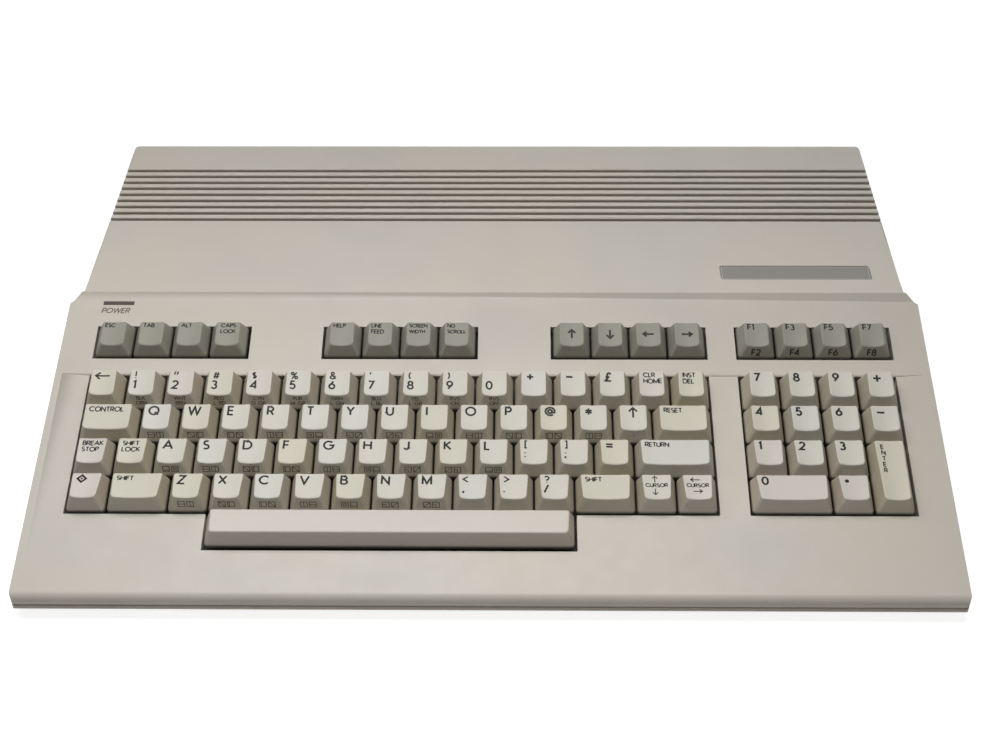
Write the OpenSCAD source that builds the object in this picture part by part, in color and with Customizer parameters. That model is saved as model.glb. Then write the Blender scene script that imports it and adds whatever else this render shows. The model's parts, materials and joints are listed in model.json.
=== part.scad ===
// A flat all-in-one home computer: two-part case, sloping keyboard deck, raised rear section.
// Millimetres. +X right, +Y to the rear, +Z up. The origin is under the middle of the case, at the feet.

/* [Case] */
// Width of the keyboard section
case_w = 432; // [428:1:460]
// Depth from front edge to rear wall
case_d = 332; // [330:1:350]
// Wall thickness of both case halves
wall = 2.5; // [2:0.1:3]
// Height of the parting line between the halves
part_z = 9; // [8.5:0.5:10]
// Underside of the bottom case above the table
floor_z = 3; // [2:0.5:3.5]
// Slope of the keyboard deck in degrees
slope = 15; // [14:0.5:16]
// Height of the deck plane where the front lip starts
lip_z = 15.5; // [15:0.5:17]
// Radius of the front lip
lip_r = 4; // [3:0.5:5]
// Length of the deck along its slope
deck_l = 163.3; // [162:0.5:166]
// How much narrower the rear section is at each side
rear_inset = 7; // [4:0.5:8]
// Rise of the rear section above the end of the deck
step_h = 3.4; // [2:0.2:5]
// Depth of the level top of the rear section
rear_top_d = 138.8; // [136:0.2:141]
// Height of the upright rear wall
rear_wall_h = 38; // [36:1:42]
// Radius of the case's upright corners
corner_r = 2.5; // [2:0.5:6]
// How much wider each side of the deck is at the front than at the riser
flare = 1.2; // [0:0.1:2]
// Depth of the shallow recess around the letter keys
deck_sink = 1.1; // [0.4:0.1:1.4]

/* [Grooves] */
// Number of cross grooves in the rear section
groove_n = 9; // [3:1:9]
// Distance between grooves
groove_pitch = 6; // [5:0.1:6.4]
// Width of one groove
groove_w = 2.6; // [2:0.1:3]
// Depth of one groove
groove_depth = 3; // [2:0.1:3.4]
// Distance from the rear edge of the top to the rearmost groove
groove_back = 26; // [24:0.5:30]

/* [Badge and lamp] */
// Length of the bare badge plate
badge_l = 77.4; // [60:0.2:80]
// Width of the badge plate
badge_w = 11.6; // [8:0.2:13]
// Thickness of the badge plate
badge_t = 0.8; // [0.5:0.1:1]
// Bare top between the badge plate and the side of the rear section
badge_side = 14; // [13:0.5:30]
// Length of the lamp window
window_l = 15.8; // [10:0.2:18]
// Width of the lamp window
window_w = 2.4; // [2:0.1:3]

/* [Keyboard] */
// Distance between neighbouring keys
pitch = 19.05; // [19:0.05:19.1]
// Gap between the outermost keys and their opening
key_gap = 0.9; // [0.7:0.1:1.1]
// Gap between neighbouring key skirts
skirt_gap = 0.8; // [0.6:0.1:1.4]
// Bare deck between the left edge and the letter block
side_margin = 16.65; // [16:0.05:18]
// Bare deck along the slope below the space bar
front_margin = 20; // [19:0.5:21]
// Extra room in their openings behind the number row and the number pad
rear_gap = 1.7; // [1.2:0.1:2]
// Bare strip between those openings and the grey keys
strip_w = 9.3; // [9.2:0.1:10]
// Bare bridge between the letter block and the number pad
bridge_w = 14.1; // [13:0.1:16]
// How far a key travels
travel = 3.8; // [3:0.1:4]
// Width lost from the skirt to the top on each side of a keycap
cap_side = 2.9; // [2:0.1:3.2]
// Width lost on each side of a grey keycap
grey_side = 3.3; // [2.4:0.1:3.4]
// Run of the keycap's front face
cap_front = 3; // [2:0.1:3.4]
// Run of a grey keycap's front face
grey_front = 3.3; // [2:0.1:3.4]
// Run of the keycap's rear face
cap_back = 1.5; // [1:0.1:2]
// Depth of the finger hollow in a keycap
dish = 0.8; // [0.4:0.1:1]
// Wall of a keycap
cap_wall = 1.3; // [1:0.1:1.5]
// Thickness of the keyboard frame plate
frame_t = 2; // [1.6:0.1:2.2]
// Thickness of the circuit boards
board_t = 1.6; // [1.2:0.1:1.8]
// Radius of a plunger's guided shaft
plunger_r = 2.4; // [2:0.1:2.6]
// Radial clearance of a plunger in its guide
guide_gap = 0.1; // [0.06:0.01:0.15]

/* [Inside] */
// Room between the main board and the side walls
board_side = 12.5; // [10:0.5:14]
// Depth of the main board
board_d = 214; // [200:1:216]
// Underside of the main board above the table
board_z = 10; // [9.5:0.1:11]
// Radius of a case screw's shaft
screw_r = 1.6; // [1.4:0.1:1.8]
// Radius of a rubber foot
foot_r = 8; // [6:0.5:9]
// How far a foot sits up inside its pocket
foot_sink = 0.8; // [0.5:0.1:1]
// Travel of the reset button
reset_travel = 2; // [1:0.1:2.5]
// Travel of the channel switch lever
lever_travel = 3; // [2:0.1:3.5]

/* [Hidden] */
$fn = 48;
e = 0.01;          // overlap that keeps cuts clean
slack = 0.2;       // gap between pieces that are laid against each other
seam = 0.02;       // hairline between pieces that are pressed or glued together
front_y = -case_d / 2;
rear_y = case_d / 2;
deck_y = front_y + lip_r;
deck_end = [deck_y + deck_l * cos(slope), lip_z + deck_l * sin(slope)];
riser_run = 3;
edge = [deck_end[0] + riser_run, deck_end[1] + step_h];
top_drop = 0.5;    // fall of the rear top over its depth
ridge = [edge[0] + rear_top_d, edge[1] - top_drop];
case_h = edge[1];
rear_w = case_w - 2 * rear_inset;
half = case_w / 2;
rear_half = rear_w / 2;
in_floor = floor_z + wall;

// keyboard places, along the slope (v) and square to the deck (n)
cap_base = -1.5;                      // lower rim of a keycap
cap_shoulder = 0.3;                   // where its side walls start to lean in
frame_n = -6;                         // upper face of the frame plate
tower_r = plunger_r + guide_gap + 1.3;
tower_n = -3.2;                       // upper end of a guide tower
post_n = tower_n + travel + 0.4;      // lower end of the post inside a keycap
post_r = 3;
peg_r = 1.95;                         // peg of a plunger, pressed up into the post
peg_l = 3.4;
peg_gap = 0.04;
foot_n = frame_n - frame_t - 0.3;     // up-stop of a plunger under the plate
foot_t = 1;
pad_t = 0.7;
kb_board_n = foot_n - foot_t - pad_t - travel - 0.2; // upper face of the keyboard board
spring_in = tower_r + 0.25;
spring_t = 0.55;
main_x = -case_w / 2 + side_margin;
block_x = main_x + key_gap;
main_w = 16 * pitch + 2 * key_gap;
pad_open_x = main_x + main_w + bridge_w;
pad_shift = 0.5;                      // the number pad's keys sit this much to the left in their opening
pad_u = (pad_open_x + key_gap - pad_shift - block_x) / pitch;
pad_w = 4 * pitch + 2 * key_gap;
block_v = front_margin + pitch;       // front edge of the letter opening
block_h = 4 * pitch + key_gap + rear_gap;
grey_v = block_v + block_h + strip_w;
grey_h = pitch + key_gap;
frame_v0 = front_margin - 3;
frame_v1 = grey_v + grey_h + 4;
frame_half = case_w / 2 - wall - 8;
kb_board_v0 = frame_v0 + 6.5;
window_v = deck_l - 1.6;
window_x = main_x + window_l / 2 + 0.5;

// rows: 0 space bar, 1 to 4 letter block from the front, 5 grey keys
function row_v(r) = (r == 5 ? grey_v + key_gap / 2 : block_v + (r - 1) * pitch + key_gap / 2) + pitch / 2;
cap_heights = [[9.2, 7.4], [9.5, 7.4], [9.1, 7.8], [8.9, 8.5], [9.6, 9.8], [7.3, 7.3]];

// keys of each node: [left edge in key widths, width, row, rows deep]
function run(u0, count, row) = [for (i = [0 : count - 1]) [u0 + i, 1, row, 1]];
key_sets = [
    ["space_bar", [[3.5, 9, 0, 1]]],
    ["symbol_key", run(0, 1, 1)],
    ["left_shift_key", [[1, 1.5, 1, 1]]],
    ["lower_letter_keys", run(2.5, 10, 1)],
    ["right_shift_key", [[12.5, 1.5, 1, 1]]],
    ["cursor_up_down_key", run(14, 1, 1)],
    ["cursor_left_right_key", run(15, 1, 1)],
    ["run_stop_key", run(0, 1, 2)],
    ["shift_lock_key", run(1, 1, 2)],
    ["home_letter_keys", run(2, 12, 2)],
    ["return_key", [[14, 2, 2, 1]]],
    ["control_key", [[0, 1.5, 3, 1]]],
    ["upper_letter_keys", run(1.5, 13, 3)],
    ["restore_key", [[14.5, 1.5, 3, 1]]],
    ["number_keys", run(0, 14, 4)],
    ["edit_keys", run(14, 2, 4)],
    ["number_pad_keys", concat(run(pad_u, 4, 4), run(pad_u, 4, 3), run(pad_u, 3, 2), run(pad_u + 2, 1, 1))],
    ["zero_key", [[pad_u, 2, 1, 1]]],
    ["enter_key", [[pad_u + 3, 1, 1, 2]]],
    ["escape_key", run(0, 1, 5)],
    ["tab_key", run(1, 1, 5)],
    ["alt_key", run(2, 1, 5)],
    ["caps_lock_key", run(3, 1, 5)],
    ["help_key", run(6, 1, 5)],
    ["line_feed_key", run(7, 1, 5)],
    ["display_key", run(8, 1, 5)],
    ["no_scroll_key", run(9, 1, 5)],
    ["up_key", run(12, 1, 5)],
    ["down_key", run(13, 1, 5)],
    ["left_key", run(14, 1, 5)],
    ["right_key", run(15, 1, 5)],
    ["function_keys", run(pad_u, 4, 5)]
];
key_names = [for (s = key_sets) s[0]];
grey_names = [for (s = key_sets) if (s[1][0][2] == 5) s[0]];
all_keys = [for (s = key_sets) for (k = s[1]) k];
function keys_of(name) = [for (s = key_sets) if (s[0] == name) for (k = s[1]) k];
function key_x(k) = block_x + (k[0] + k[1] / 2) * pitch;
bar_lift = 0.4;    // the space bar stands this much behind its row's middle
function key_v(k) =
    k[2] == 0 ? block_v + key_gap / 2 - pitch / 2 + bar_lift : row_v(k[2]) + (k[3] - 1) * pitch / 2;
bar_gap = 1.8;     // the space bar is this much shallower than a row
function key_w(k) = k[1] * pitch - skirt_gap;
function key_d(k) = k[3] * pitch - (k[2] == 0 ? bar_gap : skirt_gap);
// places of a key's guides, measured across from its middle: the long bar has three
function guides(k) = k[1] > 4 ? [-k[1] * pitch / 3, 0, k[1] * pitch / 3] : [0];

// ---------- helpers ----------

function arc(c, r, a0, a1, steps = 6) =
    [for (i = [0 : steps]) let (a = a0 + (a1 - a0) * i / steps) [c[0] + r * cos(a), c[1] + r * sin(a)]];
// unit vector to the left of the way from p to q
function left_of(p, q) = let (d = q - p) [-d[1], d[0]] / norm(d);
// a polygon whose sides all move inwards by t
function inset(p, t) = [for (i = [0 : len(p) - 1]) let (
    a = left_of(p[(i + len(p) - 1) % len(p)], p[i]), b = left_of(p[i], p[(i + 1) % len(p)]))
    p[i] + t * (a + b) / (1 + a * b)];

module along_x(length) rotate([90, 0, 90]) linear_extrude(length, center = true) children();
module along_y(length) rotate([90, 0, 0]) linear_extrude(length, center = true) children();
module on_deck() translate([0, deck_y, lip_z]) rotate([slope, 0, 0]) children();
module block(low, high) translate(low) cube(high - low);
module tube(r_out, r_in, h) difference() {
    cylinder(r = r_out, h = h);
    translate([0, 0, -e]) cylinder(r = r_in, h = h + 2 * e);
}
module rounded_bar(l, w, h, r) linear_extrude(h) difference() {
    square([l, w], center = true);
    for (sx = [-1, 1], sy = [-1, 1]) translate([sx * (l / 2 - r), sy * (w / 2 - r)]) difference() {
        translate([sx * r / 2 - r / 2 - (sx < 0 ? e : 0), sy * r / 2 - r / 2 - (sy < 0 ? e : 0)])
            square([r + e, r + e]);
        circle(r);
    }
}

// ---------- case ----------

// side view of the closed case, front to the left, counter-clockwise from the bottom
tuck = 3;          // how far the bottom case's edge tucks in
rear_bevel = 4;    // slanted corner at the top of the rear wall
lip_centre = [deck_y, lip_z - lip_r / cos(slope)];
profile = concat(
    [[front_y + tuck, floor_z], [rear_y - tuck, floor_z], [rear_y, floor_z + tuck],
     [rear_y, rear_wall_h], [rear_y - rear_bevel, rear_wall_h + rear_bevel]],
    [ridge, edge, deck_end],
    arc(lip_centre, lip_r, 90 + slope, 180, 6),
    [[front_y, floor_z + tuck + 1]]);

// plan view, counter-clockwise from the front left corner: the sides step in at the riser
corners = [[-half - flare, front_y], [half + flare, front_y], [half, deck_end[0] - 1.5],
    [rear_half, edge[0] + 1], [rear_half, rear_y], [-rear_half, rear_y],
    [-rear_half, edge[0] + 1], [-half, deck_end[0] - 1.5]];
// the plan moved inwards by t, its outer corners rounded
function plan(t) = let (p = inset(corners, t), q = max(corner_r - t, 0.5)) concat(
    arc(p[0] + [q, q], q, 180, 270, 5), arc(p[1] + [-q, q], q, 270, 360, 5), [p[2], p[3]],
    arc(p[4] - [q, q], q, 0, 90, 5), arc(p[5] + [q, -q], q, 90, 180, 5), [p[6], p[7]]);

outside = half + flare + 1;    // just beyond the sides of the case
module case_solid(t) intersection() {
    along_x(2 * outside) polygon(inset(profile, t));
    linear_extrude(case_h + 2) polygon(plan(t));
}
module case_shell() difference() {
    case_solid(0);
    case_solid(wall);
}
above = 8;         // how far cuts reach above the deck
module key_well(x, w, v, h, t = 0) on_deck()
    block([x - t, v - t, frame_n + slack], [x + w + t, v + h + t, above]);
space_x = block_x + 3.5 * pitch - key_gap;    // left edge of the space bar's opening
// every key opening, grown by t
module key_wells(t = 0) {
    key_well(space_x, 9 * pitch + 2 * key_gap, front_margin, pitch + 1, t);
    for (block = [[main_x, main_w], [pad_open_x, pad_w]]) key_well(block[0], block[1], block_v, block_h, t);
    for (x = concat([for (u = [0, 6, 12]) main_x + u * pitch], [pad_open_x]))
        key_well(x, pad_w, grey_v, grey_h, t);
}
skirt_t = 1.2;     // thickness of the skirts around the key openings
module well_skirts() intersection() {
    on_deck() block([-half + wall, front_margin - 4, frame_n + slack], [half - wall, deck_l - 4, 0.5 - wall]);
    key_wells(skirt_t);
}
// shallow wedge that sinks the deck around the letter keys and runs out to nothing at both sides
sink_v = block_v + block_h + 0.4;
sink_out = half - 3;     // where the recess has run out to nothing
sink_in = half - 14;     // where it has its full depth
module deck_wedge() on_deck() intersection() {
    along_x(case_w) polygon([[1, 0], [1, 1], [sink_v, 1], [sink_v, -deck_sink]]);
    translate([0, sink_v / 2, 0]) along_y(sink_v + 4)
        polygon([[-sink_out, 1], [-sink_out, 0], [-sink_in, -deck_sink], [sink_in, -deck_sink],
            [sink_out, 0], [sink_out, 1]]);
}
groove_floor = case_h - top_drop - groove_depth;
groove_base = 1.2;       // thickness left under a groove
groove_y1 = ridge[0] - groove_back;
groove_y0 = groove_y1 - (groove_n - 1) * groove_pitch;
module grooves() for (i = [0 : groove_n - 1]) translate([0, groove_y0 + i * groove_pitch, 0])
    block([-half, -groove_w / 2, groove_floor], [half, groove_w / 2, case_h + 2]);
// thickening inside the rear top, so that the grooves don't break through
module groove_backing() intersection() {
    block([-half, groove_y0 - groove_w, groove_floor - groove_base], [half, groove_y1 + groove_w, case_h]);
    case_solid(wall / 2);
}

// places where the halves are screwed together
screw_in = 11;           // rear screws from the outside of the rear section
front_screw_x = half - 66;
side_screw_x = rear_half - screw_in;
case_screw_at = [for (s = [-1, 1]) each [[s * front_screw_x, front_y + 10], [s * side_screw_x, edge[0] + 4.3],
    [s * side_screw_x, rear_y - screw_in]]];
boss_r = screw_r + 2.6;
boss_split = part_z;
head_r = screw_r * 1.9;
head_h = 2.4;
module at_case_screws() for (p = case_screw_at) translate([p[0], p[1], 0]) children();
// places where the keyboard frame is screwed up under the deck: [x, v]
bridge_x = pad_open_x - bridge_w / 2;
cluster_gap_x = block_x + 5 * pitch;          // middle between the first two grey clusters
strip_v = block_v + block_h + strip_w / 2;
front_row_v = frame_v0 + 13;
grey_row_v = strip_v + 15;
frame_screw_at = [[-frame_half + 6, strip_v], [frame_half - 6, strip_v],
    [space_x - 7.3, front_row_v], [pad_open_x + 8.65, front_row_v],
    [bridge_x, block_v + 1.6 * pitch], [bridge_x, grey_row_v], [cluster_gap_x, grey_row_v]];
frame_screw_r = 1.3;
frame_boss_r = 3.4;
module at_frame_screws() on_deck() for (p = frame_screw_at) translate([p[0], p[1], 0]) children();

// ---------- ports ----------

port_z = board_z + board_t;           // the sockets stand on the main board
wall_y = rear_y - wall;
side_x = rear_half - wall;
// places along the rear wall
cartridge_x = 146;
cassette_x = 92;
round_x = [60, 34];
lever_x = 8;
jack_x = -14;
screen_x = -56;
user_x = -126;
// places along the right side, in front of the rear wall
game_y = [rear_y - 140, rear_y - 104];
reset_y = rear_y - 80;
switch_y = rear_y - 60;
power_y = rear_y - 34;
nine_w = 31;
nine_h = 12.5;
// notches, open at the parting line so that the top case lifts straight off:
// [place, width, height over the board]
rear_notches = [[cartridge_x, 66, 16], [user_x, 74, 12], [cassette_x, 32, 12], [round_x[0], 20, 19],
    [round_x[1], 20, 19], [jack_x, 15, 18], [lever_x, 13, 14], [screen_x, nine_w + 3, 15]];
side_notches = [[game_y[0], nine_w + 3, 15], [game_y[1], nine_w + 3, 15], [reset_y, 8.4, 10],
    [switch_y, 23, 15], [power_y, 20, 18]];
module port_notches() {
    for (p = rear_notches)
        block([p[0] - p[1] / 2, wall_y - 2, part_z - 1], [p[0] + p[1] / 2, rear_y + 1, port_z + p[2]]);
    for (p = side_notches)
        block([side_x - 2, p[0] - p[1] / 2, part_z - 1], [rear_half + 1, p[0] + p[1] / 2, port_z + p[2]]);
}

badge_x = rear_half - badge_side - badge_l / 2;
badge_y = edge[0] + 11.4 + badge_w / 2;
badge_gap = 0.3;
badge_r = 1.4;
badge_proud = 0.25;
module at_badge() translate([badge_x, badge_y, case_h - top_drop - badge_t]) children();

module top_case() color([0.80, 0.78, 0.73]) difference() {
    union() {
        intersection() {
            case_shell();
            block([-outside, front_y - 1, part_z], [outside, rear_y + 1, case_h + 1]);
        }
        well_skirts();
        groove_backing();
        intersection() {
            at_case_screws() translate([0, 0, boss_split]) cylinder(r = boss_r, h = case_h);
            case_solid(wall / 2);
        }
        at_frame_screws() translate([0, 0, frame_n + e])
            cylinder(r = frame_boss_r, h = -frame_n - wall / 2);
    }
    key_wells();
    deck_wedge();
    grooves();
    port_notches();
    at_case_screws() translate([0, 0, boss_split - 1]) cylinder(r = screw_r + 0.05, h = 8);
    at_frame_screws() translate([0, 0, frame_n - 1]) cylinder(r = frame_screw_r + 0.05, h = 4);
    at_badge() rounded_bar(badge_l + badge_gap, badge_w + badge_gap, 3, badge_r + badge_gap / 2);
    on_deck() block([window_x - window_l / 2, window_v - window_w / 2, -5],
        [window_x + window_l / 2, window_v + window_w / 2, 2]);
}

rim_t = 1.1;       // locating rim that reaches up inside the top case
rim_h = 2.5;
rim_gap = 0.1;
// an upright band that follows the case's plan, between two insets and two heights
module plan_ring(t0, t1, z0, z1) translate([0, 0, z0]) linear_extrude(z1 - z0) difference() {
    polygon(plan(t0));
    polygon(plan(t1));
}
board_w = rear_w - 2 * (wall + board_side);
board_y1 = rear_y - 9;
board_y0 = board_y1 - board_d;
board_half = board_w / 2;
post_at = [for (s = [-1, 1]) each [[s * (board_half - 18), board_y0 + 8],
    [s * (board_half - 62), board_y0 + 124], [s * (board_half - 8), board_y1 - 6]]];
module at_board_posts() for (p = post_at) translate([p[0], p[1], 0]) children();
post_out = 4;
post_screw_r = 1.4;
vent_n = 14;             // air slots in the floor: two rows
vent_pitch = 12;
vent_w = 3;
vent_l = 30;
vent_y = [-20, 40];
foot_wall = 1.5;
foot_play = 0.02;
foot_at = [for (s = [-1, 1]) each [[s * (half - 26), front_y + 28], [s * (half - 30), rear_y - 24]]];
module at_feet() for (p = foot_at) translate([p[0], p[1], 0]) children();

module bottom_case() color([0.66, 0.63, 0.57]) difference() {
    union() {
        intersection() {
            case_shell();
            block([-outside, front_y - 1, 0], [outside, rear_y + 1, part_z]);
        }
        difference() {
            union() {
                plan_ring(wall + rim_gap, wall + rim_gap + rim_t, part_z - rim_h, part_z + rim_h);
                plan_ring(wall - e, wall + rim_gap + e, part_z - rim_h, part_z - 0.5);
            }
            port_notches();
            block([-half, wall_y - 4, part_z - rim_h - e], [half, rear_y, part_z + rim_h + 1]);
            block([side_x - 4, 0, part_z - rim_h - e], [half, rear_y, part_z + rim_h + 1]);
        }
        at_case_screws() translate([0, 0, floor_z + 1]) cylinder(r = boss_r, h = boss_split - floor_z - 1);
        at_board_posts() translate([0, 0, in_floor - e]) cylinder(r = post_out, h = board_z - in_floor + e);
        at_feet() translate([0, 0, floor_z + 1]) cylinder(r = foot_r + foot_wall, h = foot_sink + 1.2);
    }
    at_case_screws() {
        cylinder(r = screw_r + 0.3, h = 20);
        cylinder(r = head_r + 0.4, h = floor_z + head_h + 0.2);
    }
    at_board_posts() translate([0, 0, in_floor - 1]) cylinder(r = post_screw_r + 0.05, h = 8);
    at_feet() cylinder(r = foot_r + 0.15, h = floor_z + foot_sink);
    for (i = [0 : vent_n - 1], y = vent_y) translate([(i - (vent_n - 1) / 2) * vent_pitch, y, 0])
        block([-vent_w / 2, 0, 0], [vent_w / 2, vent_l, in_floor + 1]);
}

foot_top = floor_z + foot_sink - foot_play;
module rubber_feet() color([0.25, 0.25, 0.24]) at_feet() rotate_extrude()
    polygon([[0, 0], [foot_r - 1, 0], [foot_r, 1], [foot_r, foot_top], [0, foot_top]]);

module screw(r, head, head_t, l) {
    difference() {
        cylinder(r = head, h = head_t);
        for (a = [0, 90]) rotate(a) block([-head * 0.7, -0.3, -1], [head * 0.7, 0.3, head_t * 0.45]);
    }
    translate([0, 0, head_t - e]) cylinder(r = r, h = l);
}
module case_screws() color([0.55, 0.55, 0.56]) at_case_screws() translate([0, 0, floor_z + 0.15])
    screw(screw_r, head_r, head_h, boss_split + 6.5 - floor_z - head_h);
frame_head = [2.5, 1.5];      // radius and height of a screw's head
post_head = [2.8, 1.6];
module inner_screws() color([0.7, 0.7, 0.68]) {
    at_frame_screws() translate([0, 0, frame_n - frame_t - frame_head[1]])
        screw(frame_screw_r, frame_head[0], frame_head[1], frame_t + 2.8);
    at_board_posts() translate([0, 0, board_z + board_t + post_head[1]]) mirror([0, 0, 1])
        screw(post_screw_r, post_head[0], post_head[1], board_t + 3.6);
}

module badge_plate() color([0.47, 0.45, 0.42]) at_badge()
    rounded_bar(badge_l, badge_w, badge_t + badge_proud, badge_r);

window_fit = 0.1;
window_flange = [1.5, 0.6];
module lamp_window() color([0.32, 0.24, 0.23]) on_deck() translate([window_x, window_v, 0]) {
    block([window_fit - window_l / 2, window_fit - window_w / 2, -wall - 1],
        [window_l / 2 - window_fit, window_w / 2 - window_fit, -0.15]);
    block([-window_l / 2 - window_flange[0], -window_w / 2 - window_flange[1], -wall - 2],
        [window_l / 2 + window_flange[0], window_w / 2 + window_flange[1], -wall - 0.05]);
}
lamp_r = 2.5;
lamp_l = 6;
lead_r = 0.6;
lead_x = 1.27;
lamp_n = -wall - 2.1;    // upper end of the lamp, just below its window
lead_n = lamp_n - lamp_l + 0.1;    // where the leads reach up into the lamp
lamp_y = deck_y + window_v * cos(slope) - lead_n * sin(slope) - 0.4;
lamp_z = lip_z + window_v * sin(slope) + lead_n * cos(slope);
module power_lamp() color([0.75, 0.15, 0.12]) {
    on_deck() translate([window_x, window_v - 0.4, lamp_n]) mirror([0, 0, 1]) {
        cylinder(r = lamp_r, h = lamp_l);
        translate([0, 0, lamp_l - 1]) cylinder(r = lamp_r + 0.4, h = 1.2);
    }
    for (s = [-1, 1]) translate([window_x + s * lead_x, lamp_y, port_z + 5])
        cylinder(r = lead_r, h = lamp_z - port_z - 4.2);
    translate([window_x, lamp_y, port_z]) block([-4, -3, 0], [4, 3, lamp_l]);
}

// ---------- main board ----------

tongue_l = 5;
tongues = [[user_x, 66], [cassette_x, 25]];    // board edges that take plugs: [place, width]
module main_board() color([0.16, 0.40, 0.26]) difference() {
    union() {
        block([-board_half, board_y0, board_z], [board_half, board_y1, port_z]);
        for (p = tongues)
            block([p[0] - p[1] / 2, board_y1 - 1, board_z], [p[0] + p[1] / 2, board_y1 + tongue_l, port_z]);
    }
    at_board_posts() cylinder(r = post_screw_r + 0.3, h = 30);
    at_case_screws() cylinder(r = boss_r + 0.6, h = 30);
}

sheet = 0.6;
shield_top = 27;
// how far forward a piece of height z may stand below the sloping keyboard board
function under_keyboard(z) = let (n = kb_board_n - board_t, v = (z - lip_z - n * cos(slope)) / sin(slope))
    deck_y + v * cos(slope) - n * sin(slope);
shield_y0 = max(board_y0 + 14, under_keyboard(shield_top) + 12);
shield_low = [-150, shield_y0, port_z];
shield_high = [112, board_y1 - 44, shield_top];
vent_hole_r = 3;
module shield_cover() color([0.72, 0.74, 0.75]) difference() {
    block(shield_low, shield_high);
    block(shield_low + [sheet, sheet, -1], shield_high - [sheet, sheet, sheet]);
    for (i = [0 : 10], j = [0 : 3])
        translate([shield_low[0] + 30 + i * 20, shield_y0 + 50 + j * 18, shield_top - 3])
            cylinder(r = vent_hole_r, h = 6);
}
// chips under the cover: [x, y from the cover's front, length]
chip_w = 14;
chip_h = 5;
chip_at = [[-120, 30, 52], [-58, 30, 52], [6, 30, 52], [70, 30, 52],
    [-120, 60, 36], [-70, 60, 36], [-16, 60, 52], [52, 60, 36],
    [-120, 88, 36], [-72, 88, 36], [-16, 88, 52], [60, 88, 52]];
module chip(l) {
    leg_y = chip_w / 2 - 0.6;
    difference() {
        block([-l / 2, -chip_w / 2, 1], [l / 2, chip_w / 2, chip_h]);
        translate([-l / 2, 0, chip_h - 0.6]) cylinder(r = 1.6, h = 2);
    }
    for (s = [-1, 1]) block([1.5 - l / 2, s * leg_y - 0.6, 0], [l / 2 - 1.5, s * leg_y + 0.6, 1 + e]);
}
module chips() color([0.12, 0.12, 0.13])
    for (c = chip_at) translate([c[0], shield_y0 + c[1], port_z]) chip(c[2]);

header_x = board_half - 44;
header_y = board_y0 + 30;
// capacitors: [x, y from the board's front, radius, height]
capacitors = [[board_half - 44, 60, 6, 22], [board_half - 26, 60, 5, 18], [board_half - 44, 82, 5, 16],
    [board_half - 28, 82, 4, 14], [24 - board_half, 60, 6, 20], [24 - board_half, 84, 5, 16]];
module board_parts() {
    color([0.2, 0.3, 0.55]) for (c = capacitors) translate([c[0], board_y0 + c[1], port_z])
        cylinder(r = c[2], h = c[3]);
    color([0.7, 0.7, 0.7]) translate([96, board_y0 + 128, port_z]) rounded_bar(12, 5, 12, 2.4);
    color([0.85, 0.8, 0.7]) translate([header_x, header_y, port_z]) difference() {
        block([-18, -3.5, 0], [18, 3.5, 9]);
        block([-16, -1, 3], [16, 1, 10]);
    }
    color([0.3, 0.3, 0.3]) for (i = [0 : 3]) translate([board_half - 64 + i * 12, board_y0 + 108, port_z])
        block([-3.5, -4, 0], [3.5, 4, 6]);
}

modulator_low = [-26, board_y1 - 34, port_z];
modulator_high = [18, wall_y - 3, port_z + 20];
modulator_y = modulator_high[1];
jack_z = port_z + 9;
jack_r = 4.15;
jack_bore_r = 1.7;
lever_w = 2.6;
lever_t = 1.8;
lever_slot = [9.2, 2.4];
module modulator_box() {
    color([0.75, 0.76, 0.77]) difference() {
        block(modulator_low, modulator_high);
        block(modulator_low + [sheet, sheet, sheet], modulator_high - [sheet, sheet, sheet]);
        translate([lever_x, modulator_y, jack_z]) cube([lever_slot[0], 4, lever_slot[1]], center = true);
    }
    color([0.8, 0.8, 0.78]) translate([jack_x, modulator_y + e, jack_z]) rotate([-90, 0, 0]) difference() {
        union() {
            cylinder(r = jack_r + 1.45, h = 1);
            cylinder(r = jack_r, h = rear_y - 0.3 - modulator_y);
        }
        translate([0, 0, -e]) cylinder(r = jack_bore_r, h = 20);
    }
}
module channel_switch() color([0.15, 0.15, 0.15])
    translate([lever_x - lever_travel / 2, modulator_y, jack_z]) union() {
        block([-lever_w / 2, -3, -lever_t / 2], [lever_w / 2, 3.4, lever_t / 2]);
        block([-lever_w / 2 - 1, -3, -2.2], [lever_w / 2 + 1, -0.9, 2.2]);
    }

cartridge_slot = [57, 2.4];    // opening for the cartridge's edge
cartridge_slot_z = 4.9;
module cartridge_connector() color([0.18, 0.18, 0.18]) translate([cartridge_x, board_y1 - 11, port_z])
    difference() {
        block([-33, -7, 0], [33, 7, 12.5]);
        translate([0, 0, cartridge_slot_z])
            block([-cartridge_slot[0] / 2, -4, 0], [cartridge_slot[0] / 2, 8, cartridge_slot[1]]);
    }

socket_half = 9;         // half the width of a round or square socket's body
socket_depth = 9.4;      // its middle inside the wall
round_groove = [7, 5.6]; // outer and inner radius of the ring that takes the plug's shell
pin_circle_r = 3.2;
pin_hole_r = 0.7;
module round_socket() difference() {
    block([-socket_half, -socket_half, 0], [socket_half, socket_half, 17.6]);
    translate([0, socket_half + e, socket_half]) rotate([90, 0, 0]) difference() {
        cylinder(r = round_groove[0], h = 7);
        translate([0, 0, 3]) cylinder(r = round_groove[1], h = 8);
    }
    for (a = [0 : 45 : 180])
        translate([pin_circle_r * cos(a), socket_half + 2, socket_half + pin_circle_r * sin(a)])
            rotate([90, 0, 0]) cylinder(r = pin_hole_r, h = 12);
}
module round_sockets() color([0.2, 0.2, 0.2])
    for (x = round_x) translate([x, wall_y - socket_depth, port_z]) round_socket();

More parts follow.
